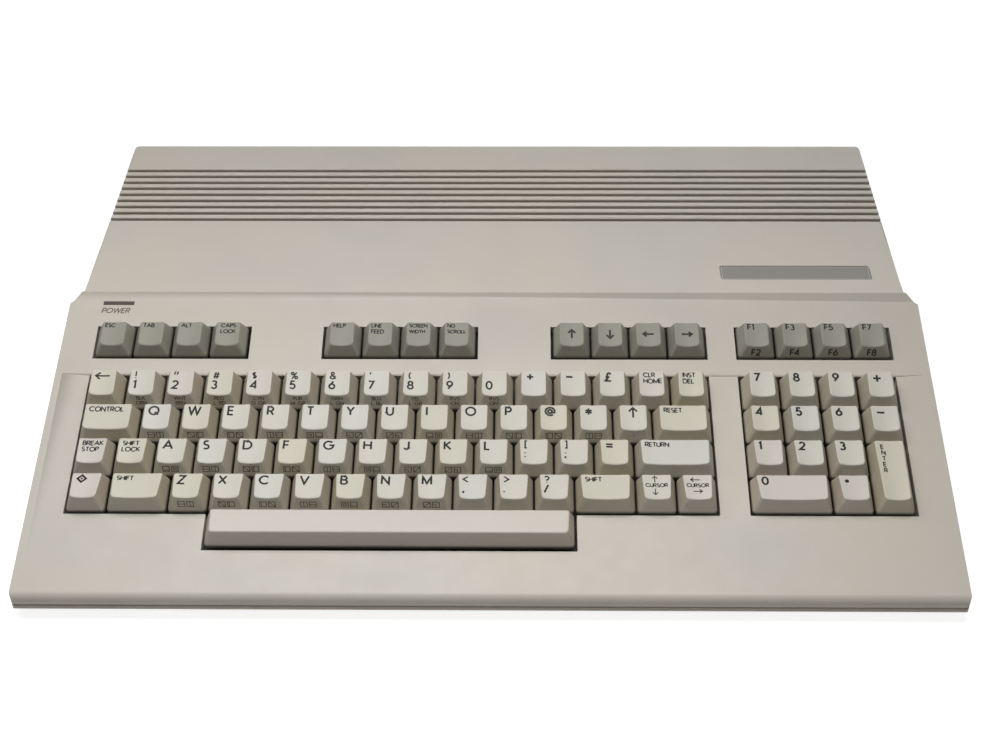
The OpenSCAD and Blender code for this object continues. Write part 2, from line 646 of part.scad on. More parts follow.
shell_w = 17;
shell_h = 8.4;
shell_l = 5.6;
shell_t = 0.6;
shell_lean = 1.2;
pin_r = 0.5;
pin_pitch = 2.76;
pin_row = 1.42;          // each row of pins above or below the middle
jackscrew_x = 12.5;
module d_shape(g) polygon([[-shell_w / 2 + shell_lean - g, -shell_h / 2 - g],
    [shell_w / 2 - shell_lean + g, -shell_h / 2 - g],
    [shell_w / 2 + g, shell_h / 2 + g], [-shell_w / 2 - g, shell_h / 2 + g]]);
module pins(count, z) for (i = [0 : count - 1])
    translate([(i - (count - 1) / 2) * pin_pitch, 4.6, z]) rotate([90, 0, 0]) cylinder(r = pin_r, h = 8);
// nine-pin plug, its mouth towards +Y
module nine_pin() translate([0, 0, nine_h / 2 + 0.3]) {
    color([0.75, 0.75, 0.74]) difference() {
        union() {
            block([-nine_w / 2, -1, -nine_h / 2], [nine_w / 2, 0, nine_h / 2]);
            translate([0, shell_l, 0]) rotate([90, 0, 0]) linear_extrude(6) d_shape(0);
        }
        translate([0, 7, 0]) rotate([90, 0, 0]) linear_extrude(9) d_shape(-shell_t);
        for (s = [-1, 1]) translate([s * jackscrew_x, 1, 0]) rotate([90, 0, 0]) cylinder(r = 1.6, h = 4);
    }
    color([0.15, 0.15, 0.15]) union() {
        block([-12, -11, -nine_h / 2 - 0.3], [12, -1 - e, nine_h / 2 - 1]);
        pins(5, pin_row);
        pins(4, -pin_row);
    }
}
nine_depth = 7;          // the flange's face inside the wall
module nine_pin_sockets() {
    translate([screen_x, wall_y - nine_depth, port_z]) nine_pin();
    for (y = game_y) translate([side_x - nine_depth, y, port_z]) rotate([0, 0, -90]) nine_pin();
}
module power_socket() color([0.2, 0.2, 0.2]) translate([side_x - socket_depth, power_y, port_z])
    rotate([0, 0, -90]) difference() {
        block([-socket_half, -socket_half, 0], [socket_half, socket_half, 17]);
        block([-7, -1, 2], [7, socket_half + 0.1, 15]);
    }

rocker_l = 19;
rocker_w = 8.6;
rocker_pin_r = 1.2;
rocker_swing = 16;
rocker_z = port_z + 7;
rocker_x = side_x - 4;
rocker_end = rocker_l / 2 - 0.4;
module power_switch_body() color([0.13, 0.13, 0.13]) translate([rocker_x, switch_y, rocker_z]) difference() {
    block([-16, -rocker_l / 2 - 1.6, -7], [5.4, rocker_l / 2 + 1.6, 7]);
    block([-9, -rocker_l / 2 - 0.4, -rocker_w / 2 - slack], [7, rocker_l / 2 + 0.4, rocker_w / 2 + slack]);
    translate([0, 0, -6]) cylinder(r = rocker_pin_r + 0.06, h = 12);
}
module power_rocker() color([0.1, 0.1, 0.1]) translate([rocker_x, switch_y, rocker_z])
    rotate([0, 0, -rocker_swing / 2]) union() {
        linear_extrude(rocker_w, center = true) polygon([[-3, -3], [2, -rocker_end], [6, 0.4 - rocker_end],
            [4.6, 0], [6, rocker_end - 0.4], [2, rocker_end], [-3, 3]]);
        translate([0, 0, -5.8]) cylinder(r = rocker_pin_r, h = 11.6);
    }

button_z = port_z + 5.4;
button_r = 3.2;
button_stem_r = 1.5;
button_in = 4.2 - reset_travel - 0.3;    // how deep the button's head starts inside the wall
module reset_switch_body() color([0.3, 0.3, 0.3]) translate([side_x, reset_y, button_z]) difference() {
    block([-13, -4.5, -5.4], [-4.2, 4.5, 4.5]);
    translate([-10, 0, 0]) rotate([0, 90, 0]) cylinder(r = button_stem_r + 0.1, h = 10);
}
module reset_button() color([0.75, 0.73, 0.68]) translate([side_x, reset_y, button_z]) rotate([0, 90, 0]) {
    translate([0, 0, -button_in]) cylinder(r = button_r, h = button_in + wall + 0.3);
    translate([0, 0, -9 + reset_travel]) cylinder(r = button_stem_r, h = 6);
}

// ---------- keyboard ----------

module at_guides(k) for (g = guides(k)) translate([key_x(k) + g, key_v(k), 0]) children();
rim_w = 2;         // rim under the frame plate that stands on the keyboard board
module keyboard_frame() color([0.13, 0.13, 0.13]) on_deck() difference() {
    union() {
        block([-frame_half, frame_v0, frame_n - frame_t], [frame_half, frame_v1, frame_n]);
        difference() {
            block([-frame_half, kb_board_v0, kb_board_n + seam],
                [frame_half, frame_v1, frame_n - frame_t + e]);
            block([rim_w - frame_half, kb_board_v0 + rim_w, kb_board_n - 1],
                [frame_half - rim_w, frame_v1 - rim_w, frame_n - frame_t + 2 * e]);
        }
        for (k = all_keys) at_guides(k) translate([0, 0, frame_n - e])
            cylinder(r = tower_r, h = tower_n - frame_n);
    }
    for (k = all_keys) at_guides(k) translate([0, 0, frame_n - frame_t - 1])
        cylinder(r = plunger_r + guide_gap, h = 12);
    for (p = frame_screw_at) translate([p[0], p[1], frame_n - frame_t - 1])
        cylinder(r = frame_screw_r + 0.3, h = 8);
}
module keyboard_board() color([0.30, 0.42, 0.22]) on_deck() difference() {
    block([-frame_half, kb_board_v0, kb_board_n - board_t], [frame_half, frame_v1, kb_board_n]);
    for (p = frame_screw_at) translate([p[0], p[1], kb_board_n - 4]) cylinder(r = 3, h = above);
}

// a thin sleeve with a wave for each coil stands in for a coil spring
coils = 4;
coil_wave = 0.4;
spring_low = frame_n + seam;
module key_springs() color([0.75, 0.76, 0.78]) on_deck() for (k = all_keys) at_guides(k)
    let (top = min(cap_heights[k[2]]) - dish - cap_wall - 0.9, dz = (top - spring_low) / (2 * coils))
    translate([0, 0, spring_low]) rotate_extrude() polygon(concat(
        [for (i = [0 : 2 * coils]) [spring_in + (i % 2) * coil_wave, i * dz]],
        [for (i = [2 * coils : -1 : 0]) [spring_in + spring_t + (i % 2) * coil_wave, i * dz]]));

// height at which a keycap's sides have leaned in by its full loss of width
function lean_top(k) = k[2] == 5 ? max(cap_heights[5]) : 8.8;
function side_loss(k) = k[2] == 5 ? grey_side : cap_side;
function side_rate(k) = side_loss(k) / (lean_top(k) - cap_shoulder);
// a block that narrows upwards: w by d at its base, its top sloping from front to back
module taper(w, d, rate, run, base, shoulder, front, back) intersection() {
    top = max(front, back);
    lean = rate * (top - shoulder);
    along_x(w) polygon([[-d / 2, base], [d / 2, base], [d / 2, shoulder], [d / 2 - cap_back, back],
        [-d / 2 + run, front], [-d / 2, shoulder]]);
    along_y(d + 2) polygon([[-w / 2, base], [w / 2, base], [w / 2, shoulder], [w / 2 - lean, top],
        [-w / 2 + lean, top], [-w / 2, shoulder]]);
}
module keycap(k) {
    w = key_w(k);
    d = key_d(k);
    front = cap_heights[k[2]][0];
    back = cap_heights[k[2]][1];
    run = k[2] == 5 ? grey_front : cap_front;
    rate = side_rate(k);
    top_slope = atan2(back - front, d - run - cap_back);
    chord = w - 2 * side_loss(k) + 1;
    dish_r = chord * chord / (8 * dish) + dish / 2;
    roof = dish + cap_wall;
    difference() {
        taper(w, d, rate, run, cap_base, cap_shoulder, front, back);
        if (k[2] > 0) translate([0, (run - cap_back) / 2, (front + back) / 2])
            rotate([top_slope, 0, 0]) translate([0, 0, dish_r - dish]) rotate([90, 0, 0])
                cylinder(r = dish_r, h = d + 10, center = true, $fn = 240);
        difference() {
            taper(w - 2 * cap_wall, d - 2 * cap_wall, rate, run, cap_base - 1, cap_shoulder - 0.5,
                front - roof, back - roof);
            for (g = guides(k)) translate([g, 0, post_n]) cylinder(r = post_r, h = 20);
        }
        for (g = guides(k)) translate([g, 0, post_n - 1]) cylinder(r = peg_r + peg_gap, h = peg_l + 1.6);
    }
}
foot_out = plunger_r + 1.4;
foot_low = foot_n - foot_t;
module plunger() rotate_extrude() polygon([[0, foot_low], [foot_out, foot_low], [foot_out, foot_n],
    [plunger_r, foot_n], [plunger_r, post_n - seam], [peg_r, post_n - seam],
    [peg_r, post_n + peg_l], [0, post_n + peg_l]]);
module contact_pad() translate([0, 0, foot_low - pad_t]) cylinder(r = plunger_r, h = pad_t - seam);

function is_grey(name) = len([for (g = grey_names) if (g == name) g]) > 0;
module key_group(name) on_deck() for (k = keys_of(name)) translate([key_x(k), key_v(k), 0]) {
    color(is_grey(name) ? [0.56, 0.55, 0.52] : [0.84, 0.83, 0.78]) keycap(k);
    for (g = guides(k)) translate([g, 0, 0]) {
        color([0.2, 0.2, 0.2]) plunger();
        color([0.08, 0.08, 0.08]) contact_pad();
    }
}

// flat cable from the keyboard board's underside down to its header
cable_w = 30;
cable_t = 1;
cable_v = frame_v1 - 12;
cable_n = kb_board_n - board_t;
cable_start = [deck_y + cable_v * cos(slope) - cable_n * sin(slope),
    lip_z + cable_v * sin(slope) + cable_n * cos(slope) - seam];
cable_bend_z = port_z + 12;
cable_end_z = port_z + 3.2;
module keyboard_cable() color([0.55, 0.55, 0.55]) translate([header_x, 0, 0]) along_x(cable_w) polygon([
    cable_start - 4 * [cos(slope), sin(slope)], cable_start - [4 + cable_t, 6],
    [header_y - cable_t / 2, cable_bend_z], [header_y - cable_t / 2, cable_end_z],
    [header_y + cable_t / 2, cable_end_z], [header_y + cable_t / 2, cable_bend_z],
    cable_start - [2, 6], cable_start]);

// ---------- assembly ----------

top_case();
bottom_case();
rubber_feet();
case_screws();
badge_plate();
lamp_window();
power_lamp();
main_board();
inner_screws();
shield_cover();
chips();
board_parts();
modulator_box();
channel_switch();
cartridge_connector();
round_sockets();
nine_pin_sockets();
power_socket();
power_switch_body();
power_rocker();
reset_switch_body();
reset_button();
keyboard_frame();
keyboard_board();
key_springs();
keyboard_cable();
for (name = key_names) key_group(name);
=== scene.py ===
"""Dresses a flat all-in-one home computer: case, keycaps with their legends, springs, sockets and stage.

Lengths are in millimetres here, and each piece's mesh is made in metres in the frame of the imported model.
"""

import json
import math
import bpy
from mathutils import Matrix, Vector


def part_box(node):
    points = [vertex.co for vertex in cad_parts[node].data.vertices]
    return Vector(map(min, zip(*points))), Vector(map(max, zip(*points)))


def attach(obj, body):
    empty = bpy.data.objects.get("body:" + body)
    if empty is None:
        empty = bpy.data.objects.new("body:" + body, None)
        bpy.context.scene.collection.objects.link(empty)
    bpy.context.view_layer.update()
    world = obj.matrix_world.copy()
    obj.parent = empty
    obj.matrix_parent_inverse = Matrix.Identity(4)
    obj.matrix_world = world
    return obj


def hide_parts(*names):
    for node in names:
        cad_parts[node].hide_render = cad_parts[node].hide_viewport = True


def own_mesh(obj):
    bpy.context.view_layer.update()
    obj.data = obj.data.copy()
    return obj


bl_info = {
    "name": "Home computer dressing",
    "version": (1, 0, 0),
    "blender": (4, 5, 0),
    "location": "View3D > Sidebar > Computer",
    "description": "Dresses a flat home computer: case, keycaps, springs, sockets and a stage",
    "category": "Object",
}

import bmesh
import bpy
from mathutils import Vector

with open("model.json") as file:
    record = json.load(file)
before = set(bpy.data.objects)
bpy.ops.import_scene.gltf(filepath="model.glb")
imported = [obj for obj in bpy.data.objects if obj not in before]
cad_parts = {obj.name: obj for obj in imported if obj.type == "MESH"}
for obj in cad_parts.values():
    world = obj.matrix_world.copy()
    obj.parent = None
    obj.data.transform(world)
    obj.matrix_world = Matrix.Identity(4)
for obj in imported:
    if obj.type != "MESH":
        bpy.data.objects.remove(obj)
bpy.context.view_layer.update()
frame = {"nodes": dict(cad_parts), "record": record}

# ---------- sizes that the pieces share ----------

MM = 0.001
ROOT = "computer"                    # the body that stands still
SLOPE = math.radians(15)             # of the keyboard deck
DECK_UP = (0, -math.sin(SLOPE), math.cos(SLOPE))  # square to the deck
LIP_R = 4.0                          # radius of the front lip
LIP_Z = 15.5                         # height of the deck plane above the lip
PITCH = 19.05                        # distance between neighbouring keys
SKIRT_GAP = 0.8                      # gap between neighbouring skirts
BAR_GAP = 1.8                        # how much shallower the space bar is than a row
BAR_LIFT = 0.4                       # how far behind its row's middle the space bar stands
BLOCK_V = 39.5                       # front of the lowest letter row, along the slope
GREY_V = 127.6                       # front of the row of grey keys, along the slope
CAP_BASE = -1.5                      # heights over the deck plane: lower rim of a keycap
CAP_SHOULDER = 0.3                   # where its sides start to lean in
CAP_SIDE = 2.9                       # how far they lean in by the height LEAN_TOP
LEAN_TOP = 8.8
CAP_FRONT = 3.0                      # run of the front face
CAP_BACK = 1.5                       # run of the rear face
GREY_SIDE = 3.3                      # how far a grey keycap's sides lean in by its top
GREY_FRONT = 3.3                     # run of a grey keycap's front face
CAP_WALL = 1.3                       # thickness of a keycap's walls and roof
BAR_FILLET = 0.9                     # rounding of the space bar's top edge
TOP_CORNERS = (1.9, 1.1)             # rounding of a key top's front corners and of its rear ones
GREY_ROW = 5                         # the rows count from the space bar's, which is 0
FRAME_N = -6.0                       # upper face of the plate that guides the plungers
POST_N = 1.0                         # lower end of the post inside a keycap
FOOT_N = -8.3                        # upper face of a plunger's foot
POST_R = 3.0                         # radius of the post
PLUNGER_R = 2.4
FOOT_R = 3.8                         # radius of a plunger's foot
FOOT_T = 1.0                         # its thickness
COIL_R = 4.5                         # radius of a coil spring, to the middle of its wire
WIRE_R = 0.3                         # radius of the wire
COIL_TURNS = 5
COIL_ROOM = 1.7                      # over a coil, for the hollow in the keycap and a gap under it
PARTING = 9.0                        # height of the line between the case halves
GROOVES = (62.0, 114.0)              # the cross grooves lie between these, front to rear
PORT_Z = 11.6                        # upper face of the main board
PIN_PITCH = 2.76                     # of a nine-pin plug
PIN_ROW = 1.42                       # each row of pins above or below the plug's middle
CONTACT_PITCH = 3.96                 # of the contacts on the board's edge
CONTACT_ROWS = [(-126, 12), (92, 6)]  # middle and count of the contacts on each tongue of the board
SCREEN_PLUG_X = -56                  # middle of the nine-pin plug at the rear
GAME_PLUGS_Y = (26, 62)              # middles of the two at the right side
# front and rear height of the keycaps over the deck plane, from the space bar's row to the grey keys' row
CAP_HEIGHTS = [(9.2, 7.4), (9.5, 7.4), (9.1, 7.8), (8.9, 8.5), (9.6, 9.8), (7.3, 7.3)]

case_low, case_high = (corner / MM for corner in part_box("top_case"))
DECK_Y = case_low.y + LIP_R
BLOCK_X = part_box("symbol_key")[0].x / MM - SKIRT_GAP / 2
PAD_U = (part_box("zero_key")[0].x / MM - SKIRT_GAP / 2 - BLOCK_X) / PITCH


def on_deck(x, v, n):
    """The point at x across, v up along the deck's slope and n square to it."""
    return Vector((x, DECK_Y + v * math.cos(SLOPE) - n * math.sin(SLOPE),
                   LIP_Z + v * math.sin(SLOPE) + n * math.cos(SLOPE)))


def tone(red, green, blue):
    """A colour as it looks on a screen, from 0 to 255, turned into the linear values that shaders use."""
    def linear(value):
        value /= 255
        return value / 12.92 if value <= 0.04045 else ((value + 0.055) / 1.055) ** 2.4
    return (linear(red), linear(green), linear(blue))


GROOVE_SHADE = tone(148, 138, 123)           # painted shade in the cross grooves
SIDE_SHADE = tone(150, 132, 96)           # painted shade on the sides of the pale keycaps
RIM_SHADE = tone(36, 33, 28)              # painted shade round the lower rims of the keycaps


# ---------- settings ----------


class CaseLook(bpy.types.PropertyGroup):
    """Finish of the two case halves and of what is set into them."""

    shell: bpy.props.FloatVectorProperty(
        name="Shell", description="Colour of the top case", subtype="COLOR", default=tone(200, 194, 184))
    base: bpy.props.FloatVectorProperty(
        name="Base", description="Colour of the bottom case", subtype="COLOR", default=tone(176, 169, 156))
    badge: bpy.props.FloatVectorProperty(
        name="Badge", description="Colour of the bare badge plate", subtype="COLOR",
        default=tone(132, 127, 121))
    outer_edge: bpy.props.FloatProperty(
        name="Outer edges", description="Rounding of the case's outer edges", subtype="DISTANCE",
        default=0.0012, min=0.0002, max=0.0015)
    corner_edge: bpy.props.FloatProperty(
        name="Rear corners", description="Rounding of the slanted corners behind the level top",
        subtype="DISTANCE", default=0.0024, min=0.0005, max=0.003)
    parting_edge: bpy.props.FloatProperty(
        name="Parting line", description="Slant on each half's edge along the parting line", subtype="DISTANCE",
        default=0.0005, min=0.0001, max=0.0008)
    well_edge: bpy.props.FloatProperty(
        name="Opening edges", description="Rounding of the edges of the key openings", subtype="DISTANCE",
        default=0.0003, min=0.0001, max=0.00035)
    groove_edge: bpy.props.FloatProperty(
        name="Groove edges", description="Rounding of the edges of the cross grooves", subtype="DISTANCE",
        default=0.0005, min=0.0001, max=0.0008)


class KeyLook(bpy.types.PropertyGroup):
    """Shape and finish of the keycaps."""

    neutral: bpy.props.FloatVectorProperty(
        name="Neutral", description="Colour of most pale keycaps", subtype="COLOR", default=tone(209, 205, 194))
    cream: bpy.props.FloatVectorProperty(
        name="Cream", description="Colour of the yellowed keycaps", subtype="COLOR",
        default=tone(207, 203, 187))
    cool: bpy.props.FloatVectorProperty(
        name="Cool", description="Colour of the whitest keycaps", subtype="COLOR", default=tone(209, 206, 197))
    rosy: bpy.props.FloatVectorProperty(
        name="Rosy", description="Colour of the faintly pink keycaps", subtype="COLOR",
        default=tone(209, 203, 194))
    grey: bpy.props.FloatVectorProperty(
        name="Grey", description="Colour of the grey keycaps", subtype="COLOR", default=tone(148, 145, 134))
    ink: bpy.props.FloatVectorProperty(
        name="Ink", description="Colour of the legends on the tops", subtype="COLOR", default=tone(22, 20, 19))
    faint_ink: bpy.props.FloatVectorProperty(
        name="Faint ink", description="Colour of the marks on the fronts", subtype="COLOR",
        default=tone(88, 82, 70))
    dish: bpy.props.FloatProperty(
        name="Finger hollow", description="Depth of the hollow in a keycap", subtype="DISTANCE",
        default=0.0009, min=0.0002, max=0.001)
    fillet: bpy.props.FloatProperty(
        name="Top edge", description="Rounding of a keycap's top edge", subtype="DISTANCE",
        default=0.0005, min=0.0002, max=0.001)


class StageLook(bpy.types.PropertyGroup):
    """Floor, lights and camera."""

    floor: bpy.props.FloatVectorProperty(
        name="Floor", description="Colour of the floor where it is seen", subtype="COLOR",
        default=(0.6, 0.6, 0.595))
    glow: bpy.props.FloatProperty(
        name="Floor glow", description="Light that lifts the floor to white where it is seen", default=0.85)
    bounce: bpy.props.FloatProperty(
        name="Bounce", description="Share of light that the floor throws back onto the object", default=0.7)
    key_power: bpy.props.FloatProperty(
        name="Key light", description="Power of the large lamp overhead", unit="POWER", default=6.25)
    side_power: bpy.props.FloatProperty(
        name="Side light", description="Power of the lamp at the left", unit="POWER", default=0.8)
    rear_power: bpy.props.FloatProperty(
        name="Rear light", description="Power of the lamp behind the object", unit="POWER", default=2.0)
    ambient: bpy.props.FloatProperty(
        name="Ambient", description="Strength of the even light from all around", default=0.085)


# ---------- materials ----------


class Tree:
    """A node tree, with a short way to add a node with its values, links and settings."""

    def __init__(self, tree):
        self.tree = tree

    def add(self, kind, inputs=None, **settings):
        """Adds a node. An input is a value or the socket that feeds it."""
        node = self.tree.nodes.new(kind)
        for key, value in settings.items():
            setattr(node, key, value)
        for key, value in (inputs or {}).items():
            if isinstance(value, bpy.types.NodeSocket):
                self.tree.links.new(value, node.inputs[key])
            else:
                node.inputs[key].default_value = value
        return node

    def calculate(self, operation, *values):
        """The result of a sum on numbers or on the sockets that feed them."""
        return self.add("ShaderNodeMath", dict(enumerate(values)), operation=operation).outputs[0]

    def calculate_vector(self, operation, first, second, result="Vector"):
        """The result of a sum on two points or ways."""
        return self.add("ShaderNodeVectorMath", {0: first, 1: second}, operation=operation).outputs[result]

    def seen(self):
        """1 for rays that show the surroundings: those of the camera, of gloss and through glass."""
        rays = self.add("ShaderNodeLightPath").outputs
        first = self.calculate("MAXIMUM", rays["Is Camera Ray"], rays["Is Glossy Ray"])
        return self.calculate("MAXIMUM", first, rays["Is Transmission Ray"])


class Nodes(Tree):
    """A material's node tree, with short ways to shade it."""

    def __init__(self, name):
        self.material = bpy.data.materials.new(name)
        self.material.use_nodes = True
        super().__init__(self.material.node_tree)
        self.shader = self.tree.nodes["Principled BSDF"]
        self.place = self.add("ShaderNodeTexCoord").outputs["Object"]

    def noise(self, size, detail=2.0):
        """A noise whose blotches are about size millimetres across."""
        return self.grain(self.place, 1 / (size * MM), detail)

    def lines(self, stretch, scale, detail):
        """A noise drawn out into fine lines."""
        place = self.add("ShaderNodeMapping", {"Vector": self.place, "Scale": stretch}).outputs["Vector"]
        return self.grain(place, scale, detail)

    def grain(self, place, scale, detail):
        """A noise over a place that may be stretched."""
        noise = self.add("ShaderNodeTexNoise", {"Vector": place, "Scale": scale, "Detail": detail})
        return noise.outputs["Fac"]

    def spread(self, value, low, high, from_low=0.3, from_high=0.7):
        """Runs from low to high as value goes from from_low to from_high, which is where most noise lies."""
        return self.add("ShaderNodeMapRange", {"Value": value, "From Min": from_low, "From Max": from_high,
                                               "To Min": low, "To Max": high}).outputs["Result"]

    def blend(self, factor, first, second):
        """A colour from the first to the second as factor goes from 0 to 1."""
        node = self.add("ShaderNodeMix", data_type="RGBA")
        for socket, value in (("Factor_Float", factor), ("A_Color", first), ("B_Color", second)):
            target = next(s for s in node.inputs if s.identifier == socket)
            if isinstance(value, bpy.types.NodeSocket):
                self.tree.links.new(value, target)
            else:
                target.default_value = value
        return next(s for s in node.outputs if s.identifier == "Result_Color")

    def bump(self, height, depth, strength=1.0, under=None):
        """A bump of depth millimetres."""
        inputs = {"Height": height, "Distance": depth * MM, "Strength": strength}
        if under is not None:
            inputs["Normal"] = under
        return self.add("ShaderNodeBump", inputs).outputs["Normal"]

    def wire(self, socket, value):
        """Feeds a socket of the shader."""
        self.tree.links.new(value, self.shader.inputs[socket])

    def set(self, **values):
        """Sets sockets of the shader that have one value all over."""
        for key, value in values.items():
            self.shader.inputs[key.replace("_", " ")].default_value = value


def shade(colour, factor=1.0):
    """The colour made lighter or darker, with its opacity."""
    return tuple(min(1.0, c * factor) for c in colour) + (1.0,)


def groove_shade_mask(n):
    """How much shade is painted in: all of it deep in the cross grooves, none on top of the ribs."""
    places = n.add("ShaderNodeSeparateXYZ", {"Vector": n.place}).outputs
    full_shade_z, no_shade_z, below = (case_high.z - depth for depth in (2.6, 0.9, 4.0))
    dust_and_painted_shade = n.spread(places["Z"], 1, 0, full_shade_z * MM, no_shade_z * MM)
    # there is none below the grooves, in front of them or behind them
    for axis, edge, blur in (("Z", below, -0.2), ("Y", GROOVES[0], -0.2), ("Y", GROOVES[1], 0.2)):
        limit = n.spread(places[axis], 0, 1, (edge + blur) * MM, edge * MM)
        dust_and_painted_shade = n.calculate("MULTIPLY", dust_and_painted_shade, limit)
    return dust_and_painted_shade


def key_side_shade_mask(n):
    """How much shade is painted on a keycap: most on its sides, a little on its front and rear, none on top."""
    normal = n.add("ShaderNodeNewGeometry").outputs["Normal"]
    up = n.calculate_vector("DOT_PRODUCT", normal, DECK_UP, "Value")
    across = n.calculate("ABSOLUTE", n.add("ShaderNodeSeparateXYZ", {"Vector": normal}).outputs["X"])
    return n.calculate("MULTIPLY", n.spread(up, 1, 0, 0.5, 0.9), n.spread(across, 0.1, 0.45, 0.3, 0.9))


def key_rim_shade_mask(n):
    """How much shade is painted round a keycap's lower rim, where it stands in its opening."""
    above = n.calculate_vector("SUBTRACT", n.place, on_deck(0, 0, 0) * MM)
    height = n.calculate_vector("DOT_PRODUCT", above, DECK_UP, "Value")
    return n.spread(height, 0.9, 0, 0.1 * MM, 1.5 * MM)


def plastic(name, colour, roughness=0.5, grain=0.35, grain_depth=0.012, mottle=0.035, warm=0.02, coat=0.0,
            dust_and_painted_shade=None, painted_shade_colour=GROOVE_SHADE, rim_shade_mask=None):
    """Moulded plastic: fine spark-eroded grain, faint large blotches and slightly uneven gloss.

    grain is the size of its grain, mottle how far the blotches differ in lightness and warm how far in warmth.
    The last three arguments paint shade into the colour: a function that says how much lies where, such as in the
    cross grooves or on a keycap's sides, the colour of that shade, and a function that says how much lies round a
    keycap's lower rim."""
    n = Nodes(name)
    blotched = n.blend(n.spread(n.noise(38, 3), 0, 1), shade(colour, 1 - mottle), shade(colour, 1 + mottle))
    warmed = shade((colour[0] * (1 + warm), colour[1], colour[2] * (1 - 2 * warm)))
    surface = n.blend(n.spread(n.noise(70, 1), 0, 0.8, 0.4, 0.65), blotched, warmed)
    surface = n.blend(n.spread(n.noise(1.3, 2), 0, 0.10), surface, shade(colour, 0.8))
    # shade painted into the colour: in the cross grooves, on a keycap's sides, and round a keycap's lower rim
    if dust_and_painted_shade:
        surface = n.blend(dust_and_painted_shade(n), surface, shade(painted_shade_colour))
    if rim_shade_mask:
        surface = n.blend(rim_shade_mask(n), surface, shade(RIM_SHADE))
    n.wire("Base Color", surface)
    n.wire("Roughness", n.spread(n.noise(9, 3), roughness - 0.05, roughness + 0.06))
    n.wire("Normal", n.bump(n.noise(14, 2), 0.03, under=n.bump(n.noise(grain, 2), grain_depth)))
    n.set(Specular_IOR_Level=0.42, Coat_Weight=coat, Coat_Roughness=0.3)
    return n.material


def metal(name, colour, roughness=0.35, streak=0.0):
    """Plated or drawn metal: brushed streaks or a soft grain, with darker tarnish."""
    n = Nodes(name)
    lines = n.lines((1.0, 1.0 + 12 * streak, 1.0), 900.0, 3.0)
    n.wire("Base Color", n.blend(n.spread(n.noise(6, 3), 0, 0.6), shade(colour), shade(colour, 0.72)))
    n.wire("Roughness", n.spread(lines, roughness - 0.08, roughness + 0.12))
    n.wire("Normal", n.bump(lines, 0.004))
    n.set(Metallic=1.0)
    return n.material


def gloss(name, colour, roughness=0.2, transmission=0.0, depth=0.01):
    """Clear or glossy moulding with a faint ripple."""
    n = Nodes(name)
    ripple = n.noise(4, 2)
    n.wire("Base Color", n.blend(n.spread(ripple, 0, 0.5), shade(colour), shade(colour, 0.8)))
    n.wire("Roughness", n.spread(n.noise(2.5, 3), roughness - 0.05, roughness + 0.08))
    n.wire("Normal", n.bump(ripple, depth))
    n.set(Transmission_Weight=transmission)
    return n.material


def board(name, colour):
    """Solder mask over copper: straight runs that show through as lighter lines."""
    n = Nodes(name)
    runs = n.add("ShaderNodeTexBrick", {"Vector": n.place, "Scale": 60.0, "Mortar Size": 0.012,
                                        "Brick Width": 0.9, "Row Height": 0.14}, offset=0.37).outputs["Fac"]
    patches = n.noise(12, 2)
    plain = n.blend(n.spread(patches, 0, 1), shade(colour, 0.85), shade(colour, 1.1))
    n.wire("Base Color", n.blend(runs, plain, shade(colour, 1.7)))
    n.wire("Roughness", n.spread(patches, 0.25, 0.4))
    n.wire("Normal", n.bump(runs, 0.03))
    return n.material


def inked(name, colour):
    """Printed ink, a little uneven where the print is thin."""
    n = Nodes(name)
    thin = n.noise(0.5, 3)
    n.wire("Base Color", n.blend(n.spread(thin, 0, 0.3), shade(colour), shade(colour, 1.5)))
    n.wire("Roughness", n.spread(thin, 0.5, 0.65))
    n.set(Specular_IOR_Level=0.3)
    return n.material


def badge_finish(name, colour):
    """Satin print on a thin plate: fine cross-brushed lines and a soft sheen."""
    n = Nodes(name)
    lines = n.lines((0.03, 1.0, 1.0), 4000.0, 2.0)
    n.wire("Base Color", n.blend(n.spread(lines, 0, 1), shade(colour, 0.95), shade(colour, 1.06)))
    n.wire("Roughness", n.spread(n.noise(7, 3), 0.34, 0.44))
    n.wire("Normal", n.bump(lines, 0.004))
    return n.material


def rubber(name, colour):
    """Matt rubber with a fine grain and some dust."""
    n = Nodes(name)
    dust_and_painted_shade = n.noise(3, 4)
    n.wire("Base Color", n.blend(n.spread(dust_and_painted_shade, 0, 0.7), shade(colour, 0.9), shade(colour, 1.7)))
    n.wire("Roughness", n.spread(dust_and_painted_shade, 0.7, 0.9))
    n.wire("Normal", n.bump(n.noise(0.4, 2), 0.03))
    return n.material


made = {}                            # materials by the name of their finish


